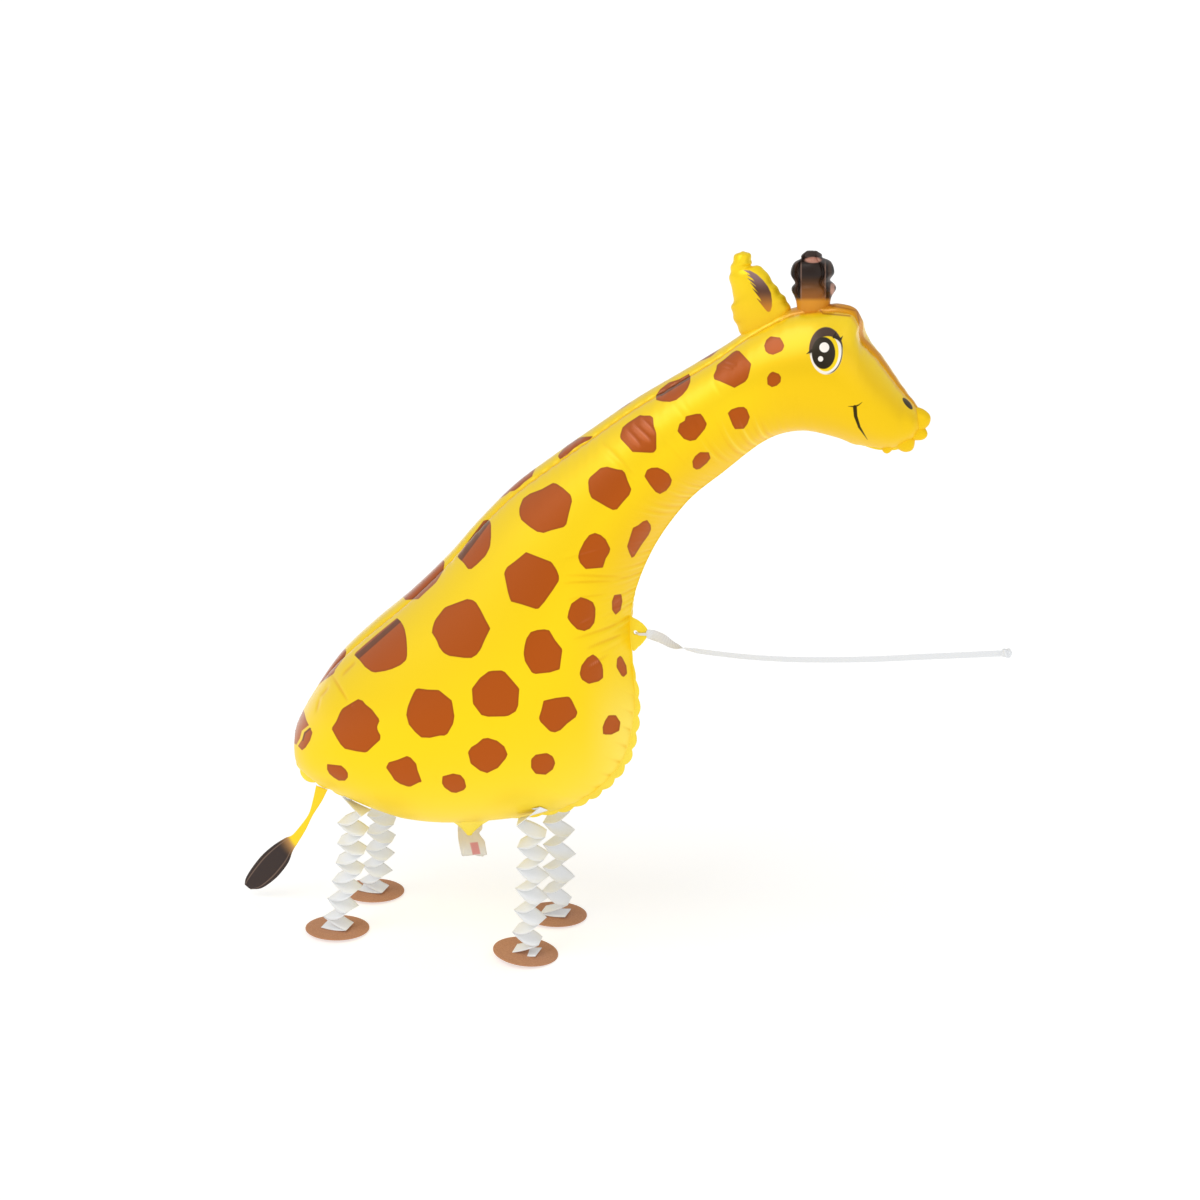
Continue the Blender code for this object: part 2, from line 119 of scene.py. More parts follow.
class Term:
    """A value in a node tree that can be written in a formula."""

    def __init__(self, tree, socket):
        self.tree = tree
        self.socket = socket

    def plug(self, target, value):
        if isinstance(value, Term):
            self.tree.links.new(value.socket, target)
        elif isinstance(value, tuple) and target.type == "RGBA":
            target.default_value = (*value, 1.0)
        else:
            target.default_value = value

    def node(self, kind, inputs, output=0, **settings):
        """Any node: its settings, its inputs by name or number, and one output."""
        made = self.tree.nodes.new(kind)
        for name, value in settings.items():
            setattr(made, name, value)
        for name, value in inputs.items():
            self.plug(made.inputs[name], value)
        return Term(self.tree, made.outputs[output])

    def math(self, operation, *values):
        return self.node("ShaderNodeMath", dict(enumerate(values)), operation=operation)

    def __add__(self, other):
        return self.math("ADD", self, other)

    def __radd__(self, other):
        return self.math("ADD", other, self)

    def __sub__(self, other):
        return self.math("SUBTRACT", self, other)

    def __rsub__(self, other):
        return self.math("SUBTRACT", other, self)

    def __mul__(self, other):
        return self.math("MULTIPLY", self, other)

    def __rmul__(self, other):
        return self.math("MULTIPLY", other, self)

    def __truediv__(self, other):
        return self.math("DIVIDE", self, other)

    def __rtruediv__(self, other):
        return self.math("DIVIDE", other, self)

    def __pow__(self, other):
        return self.math("POWER", self, other)

    def __rpow__(self, other):
        return self.math("POWER", other, self)

    def __abs__(self):
        return self.math("ABSOLUTE", self)

    def least(self, other):
        return self.math("MINIMUM", self, other)

    def most(self, other):
        return self.math("MAXIMUM", self, other)

    def ramp(self, low, high):
        """Smooth step from 0 at low to 1 at high. Low may be the larger."""
        return self.node("ShaderNodeMapRange", {"Value": self, "From Min": low, "From Max": high},
                         interpolation_type="SMOOTHSTEP")

    def choose(self, first, second):
        """Colour mix: first where this is 0, second where it is 1."""
        return self.node("ShaderNodeMix", {0: self, 6: first, 7: second}, 2, data_type="RGBA")

    def part(self, index):
        """One of the three numbers of a place."""
        return self.node("ShaderNodeSeparateXYZ", {0: self}, index)


def new_finish(name, roughness, metallic=0.0, coat=0.0):
    """A material, the Term from which its formulas start, and its shader."""
    material = bpy.data.materials.new(name)
    material.use_nodes = True
    tree = material.node_tree
    shader = tree.nodes["Principled BSDF"]
    shader.inputs["Roughness"].default_value = roughness
    shader.inputs["Metallic"].default_value = metallic
    shader.inputs["Coat Weight"].default_value = coat
    shader.inputs["Specular IOR Level"].default_value = 0.3
    return material, Term(tree, None), shader


def read_place(start):
    """Print coordinates of the surface, as two Terms."""
    spot = start.node("ShaderNodeAttribute", {}, 1, attribute_name="print")
    return spot.part(0), spot.part(1)


def read_number(start, name):
    """A number kept on the surface's points."""
    return start.node("ShaderNodeAttribute", {}, 2, attribute_name=name)


def oval(x, y, centre_x, centre_y, half_x, half_y, lean=0.0):
    """Distance from an ellipse's centre in units of its edge: 1 on the edge."""
    cosine, sine = math.cos(lean), math.sin(lean)
    along = (x - centre_x) * cosine + (y - centre_y) * sine
    across = (y - centre_y) * cosine - (x - centre_x) * sine
    return ((along / half_x) ** 2.0 + (across / half_y) ** 2.0) ** 0.5


def cover(distance, softness=0.03):
    """1 inside an oval and 0 outside it, with a soft edge."""
    return distance.ramp(1.0 + softness, 1.0 - softness)


def stroke(x, y, start_point, end_point, start_width, end_width):
    """Mask of a straight tapered line between two picture points."""
    (ax, ay), (bx, by) = start_point, end_point
    length = math.hypot(bx - ax, by - ay)
    ux, uy = (bx - ax) / length, (by - ay) / length
    along = ((x - ax) * ux + (y - ay) * uy).most(0.0).least(length)
    off_x = x - ax - along * ux
    off_y = y - ay - along * uy
    gap = (off_x * off_x + off_y * off_y) ** 0.5
    half = along * ((end_width - start_width) / 2 / length) + start_width / 2
    return (half - gap).ramp(-0.45, 0.45)


def strokes(x, y, lines):
    """Mask of several lines together: the largest of their masks."""
    mask = stroke(x, y, *lines[0])
    for line in lines[1:]:
        mask = mask.most(stroke(x, y, *line))
    return mask


print("orange is", np.round(paint(255, 165, 0), 3), "in linear light")


# %% [markdown]
# ## Surfaces as grids
# Foil is a smooth sheet, so each piece is a grid of points given by a formula of two numbers:
# how far along the piece a point lies, and how far round its section. All the points of a
# grid are worked out together as arrays. The sampled tables are the same outlines as the
# solid model has, joined by curves that pass through every row of a table.

# %% Grid helpers
LENGTH = 0.609
RUMP_X = -0.27314
BELLY_Z = 0.103


def place(share_x, share_z):
    """Metres in the centre plane from shares of the balloon's length: start + share * length."""
    return share_x * LENGTH + RUMP_X, share_z * LENGTH + BELLY_Z


def curve_through(table, t):
    """Catmull-Rom curve through a table's rows, read at t = 0 to the last row's number."""
    rows = np.asarray(table, dtype=float)
    padded = np.vstack((2 * rows[0] - rows[1], rows, 2 * rows[-1] - rows[-2]))
    first = np.clip(np.floor(t).astype(int), 0, len(rows) - 2)
    f = (t - first)[:, None]
    p0, p1, p2, p3 = (padded[first + k] for k in range(4))
    return 0.5 * (2 * p1 + (p2 - p0) * f + (2 * p0 - 5 * p1 + 4 * p2 - p3) * f ** 2
                  + (3 * p1 - p0 - 3 * p2 + p3) * f ** 3)


def edge_line(rows, column):
    """Line of points in the centre plane, from two columns of a table of shares."""
    return np.stack(place(rows[:, column], rows[:, column + 1]), axis=1)


def ring(count):
    """Angles of a closed section: count even steps over one turn."""
    return np.linspace(0.0, 2 * np.pi, count, endpoint=False)


def run_length(points):
    """Distance along a line of points, from its first point."""
    steps = np.linalg.norm(np.diff(points, axis=0), axis=1)
    return np.concatenate(([0.0], np.cumsum(steps)))


def even_rows(table, pairs, count):
    """Rows of a table's curve at even steps of the longer of its two edges."""
    fine = np.linspace(0, len(table) - 1, 40 * len(table))
    dense = curve_through(table, fine)
    edges = [np.diff(run_length(dense[:, pair])) for pair in pairs]
    along = np.concatenate(([0.0], np.cumsum(np.maximum(*edges))))
    return curve_through(table, np.interp(np.linspace(0, along[-1], count), along, fine))


def wander(values, seed):
    """Smooth random line between -1 and 1 that changes about once per unit."""
    knots = np.random.default_rng(seed).uniform(-1.0, 1.0, 512)
    floor = np.floor(values)
    f = values - floor
    f = f * f * (3 - 2 * f)
    i = floor.astype(int)
    return knots[i % 512] * (1 - f) + knots[(i + 1) % 512] * f


def grid_normals(points):
    """Unit normal of each grid point, from the cross product of the two grid directions."""
    along = np.gradient(points, axis=0)
    across = np.gradient(points, axis=1)
    normal = np.cross(along, across)
    size = np.linalg.norm(normal, axis=-1, keepdims=True)
    return normal / np.maximum(size, 1e-12)


def cap(grid):
    """The grid with one more row at each end, at the middle of the end row."""
    first, last = (np.broadcast_to(row.mean(axis=1, keepdims=True), row.shape)
                   for row in (grid[:1], grid[-1:]))
    return np.concatenate((first, grid, last))


def grid_piece(name, points, finish, nodes, outward=None, closed=False, capped=False,
               values=None):
    """Object from a grid of points. outward tells which way its faces look, or is left out
    for a tube, which looks away from the middle of each row. closed joins each row's end to
    its start, capped closes both ends of such a tube, and values are extra numbers kept on
    the points."""
    values = values or {}
    if outward is None:
        outward = points - points.mean(axis=1, keepdims=True)
    if capped:
        points, outward = cap(points), cap(outward)
        values = {key: cap(np.asarray(numbers)) for key, numbers in values.items()}
    count, width = points.shape[:2]
    numbers = np.arange(count * width).reshape(count, width)
    if closed:
        numbers = np.hstack((numbers, numbers[:, :1]))
    quads = np.stack((numbers[:-1, :-1], numbers[1:, :-1], numbers[1:, 1:], numbers[:-1, 1:]),
                     axis=-1)
    if np.sum(grid_normals(points) * outward) < 0:
        quads = quads[..., ::-1]
    mesh = bpy.data.meshes.new(name)
    mesh.from_pydata(points.reshape(-1, 3), [], quads.reshape(-1, 4))
    flat = points.reshape(-1, 3)
    prints = np.zeros((len(flat), 3))
    prints[:, :2] = print_place(flat)
    store = mesh.attributes.new("print", "FLOAT_VECTOR", "POINT")
    store.data.foreach_set("vector", prints.ravel())
    for key, numbers_kept in values.items():
        store = mesh.attributes.new(key, "FLOAT", "POINT")
        store.data.foreach_set("value", np.asarray(numbers_kept, dtype=float).ravel())
    mesh.shade_smooth()
    mesh.materials.append(finish)
    piece = bpy.data.objects.new(name, mesh)
    bpy.context.scene.collection.objects.link(piece)
    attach(piece, "root")
    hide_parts(*nodes)
    return piece


print("the balloon's outline spans", LENGTH, "m")

# %% [markdown]
# ## The envelope's outline
# The envelope is welded from two flat side panels and one strip, the gusset, along the back.
# Inflated, its section is close to an ellipse that narrows to the gusset at the top and to
# the belly seam below. The table gives the section at 26 stations from rump to nose, as
# shares of the balloon's length: where the back is, where the belly is, half the width of
# the balloon and of the gusset, and how much the flange of the belly seam is puckered.

# %% Envelope stations
BODY_STATIONS = (
    (0.000, 0.134, 0.001, 0.094, 0.001, 0.001, 0.5),
    (0.006, 0.144, 0.007, 0.085, 0.002, 0.001, 0.8),
    (0.011, 0.156, 0.011, 0.075, 0.026, 0.008, 1.0),
    (0.018, 0.172, 0.018, 0.062, 0.048, 0.015, 1.0),
    (0.042, 0.211, 0.054, 0.047, 0.088, 0.028, 0.8),
    (0.092, 0.281, 0.125, 0.023, 0.126, 0.046, 0.4),
    (0.147, 0.336, 0.230, 0.009, 0.150, 0.050, 0.3),
    (0.211, 0.392, 0.345, 0.025, 0.160, 0.049, 0.3),
    (0.273, 0.454, 0.464, 0.061, 0.158, 0.045, 0.8),
    (0.322, 0.511, 0.543, 0.134, 0.148, 0.041, 1.0),
    (0.379, 0.570, 0.568, 0.228, 0.133, 0.038, 0.8),
    (0.438, 0.617, 0.562, 0.320, 0.118, 0.037, 0.15),
    (0.501, 0.664, 0.563, 0.398, 0.106, 0.036, 0.04),
    (0.568, 0.713, 0.594, 0.485, 0.094, 0.034, 0.03),
    (0.640, 0.759, 0.645, 0.561, 0.084, 0.032, 0.03),
    (0.698, 0.797, 0.701, 0.612, 0.078, 0.030, 0.03),
    (0.745, 0.830, 0.764, 0.664, 0.076, 0.026, 0.03),
    (0.795, 0.856, 0.815, 0.681, 0.079, 0.021, 0.03),
    (0.839, 0.865, 0.864, 0.675, 0.080, 0.020, 0.03),
    (0.882, 0.863, 0.890, 0.667, 0.0765, 0.017, 0.05),
    (0.895, 0.847, 0.903, 0.666, 0.074, 0.015, 0.1),
    (0.899, 0.823, 0.917, 0.664, 0.070, 0.015, 0.2),
    (0.923, 0.798, 0.937, 0.663, 0.061, 0.013, 0.3),
    (0.955, 0.756, 0.958, 0.668, 0.046, 0.008, 0.4),
    (0.978, 0.729, 0.976, 0.680, 0.032, 0.004, 0.4),
    (0.988, 0.713, 0.988, 0.693, 0.012, 0.003, 0.4),
)
ROW_COUNT = 760
SIDE_COUNT = 120
EVEN_WIDTH_ROWS = 41
EVEN_GUSSET_ROWS = 21
EVEN_PANEL_ROWS = 61
EVEN_PANEL_REACH = 0.030
END_ROUND = 0.011
GUSSET_COUNT = 36
SEAM_THICKNESS = 0.0012
SEAM_PINCH = 0.0040
SEAM_EDGE = (
    (0.00, 0.9), (0.07, 0.9), (0.16, 0.25), (0.36, 0.25), (0.46, 1.2),
    (0.72, 1.1), (0.86, 0.5), (1.00, 0.4),
)
PINCH_REACH = 0.0055
SEAM_FLANGE = 0.004
SCALLOP_DEPTH = 0.003
SCALLOP_PITCH = 0.017

stations = even_rows(BODY_STATIONS, ((0, 1), (2, 3)), ROW_COUNT)
back = edge_line(stations, 0)
belly = edge_line(stations, 2)
up = back - belly
half_height = np.linalg.norm(up, axis=1) / 2
up = up / (2 * half_height)[:, None]
half_width = np.maximum(stations[:, 4] * LENGTH, SEAM_THICKNESS)
half_gusset = np.minimum(stations[:, 5] * LENGTH, 0.85 * half_width)
flange_share = stations[:, 6]


def even_out(values, count):
    """Running mean over count rows, with the ends held."""
    padded = np.pad(values, count // 2, mode="edge")
    return np.convolve(padded, np.ones(count) / count, mode="valid")


back_run = run_length(back)
belly_run = run_length(belly)
end_share = np.clip(np.minimum(back_run, back_run[-1] - back_run) / END_ROUND, 0, 1)
end_round = 0.04 + 0.96 * np.sqrt(1 - (1 - end_share) ** 2)
half_width = even_out(half_width, EVEN_WIDTH_ROWS) * end_round
half_gusset = even_out(half_gusset, EVEN_GUSSET_ROWS) * end_round
print("belly seam", round(belly_run[-1], 3), "back", round(back_run[-1], 3))


def lift(heights, sides):
    """Grid points from heights above the belly seam and distances from the centre plane."""
    x = belly[:, 0, None] + up[:, 0, None] * heights
    z = belly[:, 1, None] + up[:, 1, None] * heights
    return np.stack((x, sides, z), axis=-1)


# %% [markdown]
# ## Wrinkles
# Foil cannot stretch. Where a seam runs round a curve the panel has too much edge, and the
# spare length gathers into small folds that stand square to the seam and fade into the
# panel. Three kinds are added along the surface's normal: folds at the gusset seam, lobes
# at the belly seam, and the fine ripples of the throat, where the neck bends the most. A
# few long creases are read from the photograph as picture points with a depth.

# %% Wrinkle formulas
GUSSET_FOLD = 0.00042
GUSSET_FOLD_PITCH = 0.0125
BELLY_FOLD = 0.0015
BELLY_FOLD_REACH = 0.014
THROAT_RIPPLE = 0.00048
THROAT_RIPPLE_PITCH = 0.0056
THROAT_REACH = 0.060
THROAT_CENTRE = (0.222, 0.345)
THROAT_RADIUS = 0.152
CREASE_SCALE = 2.2
CREASES = (
    ((626, 429), (641, 446), 0.30, 1.6), ((633, 424), (652, 442), 0.35, 1.5),
    ((641, 418), (656, 433), 0.30, 1.4), ((599, 439), (636, 476), 0.20, 1.8),
    ((603, 450), (640, 487), 0.12, 1.8), ((655, 430), (690, 470), 0.09, 2.0),
    ((672, 402), (690, 424), 0.10, 1.6), ((680, 398), (702, 428), 0.09, 1.6),
    ((712, 380), (722, 396), 0.10, 1.6), ((722, 361), (736, 365), 0.25, 1.3),
    ((720, 366), (733, 369), 0.22, 1.3), ((331, 674), (348, 702), 0.35, 1.6),
    ((356, 661), (341, 676), 0.35, 1.6), ((329, 686), (320, 697), 0.30, 1.6),
    ((320, 697), (316, 712), 0.25, 1.6), ((588, 667), (612, 652), 0.35, 1.5),
    ((586, 649), (622, 634), 0.32, 1.5), ((572, 640), (618, 624), 0.22, 1.8),
    ((566, 600), (606, 594), 0.22, 1.6), ((562, 583), (612, 581), 0.28, 1.5),
    ((564, 575), (628, 577), 0.25, 1.6), ((612, 606), (621, 600), 0.20, 1.2),
    ((576, 626), (600, 612), 0.18, 1.6), ((627, 548), (637, 554), 0.22, 1.2),
    ((350, 704), (354, 708), 0.20, 1.2), ((560, 560), (604, 548), 0.16, 1.8),
)


def crease_depth(points):
    """Depth in metres of the named creases: d exp(-(gap / width)^2), faded at both ends."""
    places = print_place(points)
    depth = np.zeros(points.shape[:2])
    for start_point, end_point, millimetres, width in CREASES:
        a, b = np.array(start_point), np.array(end_point)
        share = np.clip((places - a) @ (b - a) / np.sum((b - a) ** 2), 0.0, 1.0)
        gap = np.linalg.norm(places - a - share[..., None] * (b - a), axis=-1)
        fade = np.sqrt(np.clip(4 * share * (1 - share), 0.0, 1.0))
        depth += CREASE_SCALE * millimetres / 1000 * fade * np.exp(-(gap / width) ** 2)
    return depth


def gusset_folds(gap):
    """Folds that leave the gusset seam: A exp(-gap / 12 mm) sin(2 pi run / pitch)."""
    phase = 2 * np.pi * back_run / GUSSET_FOLD_PITCH + 2.2 * wander(back_run / 0.045, 3)
    strength = 0.55 + 0.45 * wander(back_run / 0.03, 5)
    return GUSSET_FOLD * (strength * np.sin(phase))[:, None] * np.exp(-gap / 0.012)


def belly_folds(gap):
    """Lobes beside the belly seam, in step with the scallops of its flange."""
    lobe = np.abs(np.sin(np.pi * belly_run / SCALLOP_PITCH)) - 0.6
    share = np.clip(flange_share - 0.15, 0.0, 1.0)
    return BELLY_FOLD * (lobe * share)[:, None] * np.exp(-gap / BELLY_FOLD_REACH)


def throat_ripples(points, gap):
    """Fine ripples on rays from the centre of the throat's bend, strongest by its seam."""
    ray = np.arctan2(points[..., 2] - THROAT_CENTRE[1], THROAT_CENTRE[0] - points[..., 0])
    run = ray * THROAT_RADIUS
    window = np.clip((ray + 0.45) / 0.25, 0, 1) * np.clip((1.75 - ray) / 0.3, 0, 1)
    phase = 2 * np.pi * run / THROAT_RIPPLE_PITCH + 3.0 * wander(run / 0.02, 11)
    second = 2 * np.pi * run / (1.7 * THROAT_RIPPLE_PITCH) + 2.0 * wander(run / 0.03, 12)
    wave = np.sin(phase) + 0.6 * np.sin(second)
    strength = 0.6 + 0.4 * wander(run / 0.025 + gap / 0.05, 13)
    return THROAT_RIPPLE * wave * strength * window * np.exp(-(gap / THROAT_REACH) ** 2)


# %% [markdown]
# ## Side panels
# A side panel runs from the belly seam, at angle 0 of the section's ellipse, up to the
# gusset seam. Height is h (1 - cos a) and half width is b sin a, raised to a power near the
# belly seam, where the two sheets meet in an edge. The power is larger at the rump, the chest
# and the throat. At the gusset seam the sheets are pulled together, so the panel dips into a
# valley that fades in a few millimetres. Between its seams a running mean over the rows
# takes out the small steps between the table's curves. The two panels are mirror images, as
# they are cut from one pattern.

# %% Side panels
first_angle = np.arcsin(np.minimum(SEAM_THICKNESS / 2 / half_width, 0.5))
last_angle = np.pi - np.arcsin(half_gusset / half_width)
share = np.linspace(0.0, 1.0, SIDE_COUNT)
share = share + 0.06 * np.sin(2 * np.pi * share)
angles = first_angle[:, None] + (last_angle - first_angle)[:, None] * share
panel_heights = half_height[:, None] * (1 - np.cos(angles))
along_belly = belly_run / belly_run[-1]
edge_power = np.interp(along_belly, *np.array(SEAM_EDGE).T)[:, None] * np.cos(angles / 2) ** 4
panel_sides = half_width[:, None] * np.sin(angles) ** (1 + edge_power)
step = np.hypot(np.diff(panel_heights, axis=1), np.diff(panel_sides, axis=1))
belly_gap = np.hstack((np.zeros((ROW_COUNT, 1)), np.cumsum(step, axis=1)))
gusset_gap = belly_gap[:, -1:] - belly_gap
pinch = np.minimum(SEAM_PINCH, 0.3 * half_gusset)[:, None] * np.exp(-gusset_gap / PINCH_REACH)
panel_heights = panel_heights - pinch
panel_sides = panel_sides - pinch / 3
panel = lift(panel_heights, -panel_sides)
lines = panel[..., ::2].transpose(1, 2, 0).reshape(-1, ROW_COUNT)
evened = np.stack([even_out(line, EVEN_PANEL_ROWS) for line in lines])
evened = evened.reshape(SIDE_COUNT, 2, ROW_COUNT).transpose(2, 0, 1)
row = np.arange(ROW_COUNT)
away_from_ends = (np.clip(row / 60 - 0.2, 0, 1), np.clip((ROW_COUNT - 1 - row) / 60 - 0.2, 0, 1))
inner_part = np.clip(np.minimum(belly_gap, gusset_gap) / EVEN_PANEL_REACH, 0, 1)
inner_part = inner_part ** 2 * (3 - 2 * inner_part) * away_from_ends[0][:, None]
inner_part = inner_part * away_from_ends[1][:, None]
panel[..., ::2] += (evened - panel[..., ::2]) * inner_part[..., None]
panel_normal = -grid_normals(panel)
panel_normal *= np.sign(np.sum(panel_normal * (0, -1, 0)))
panel_fold = (gusset_folds(gusset_gap) + belly_folds(belly_gap)
              + throat_ripples(panel, belly_gap) - crease_depth(panel))
edge_fade = np.clip(belly_gap / 0.003, 0, 1) * np.clip(gusset_gap / 0.001, 0.3, 1)
end_fade = np.clip(np.minimum(back_run, back_run[-1] - back_run) / 0.02, 0, 1)[:, None]
panel_fold = panel_fold * edge_fade * end_fade
panel = panel + panel_normal * panel_fold[..., None]
deepest = float(np.abs(panel_fold).max())
print("panel", panel.shape, "wrinkles up to", round(deepest * 1000, 2), "mm")

# %% [markdown]
# ## Spots
# The spots are printed on the flat film before it is welded, the same on both sides. Each
# spot is a many-sided patch with soft corners. Its corners are read from the photograph as
# picture places. For each point of the surface the distance to the nearest patch is worked
# out, negative inside, and the shader turns that distance into a sharp edge.

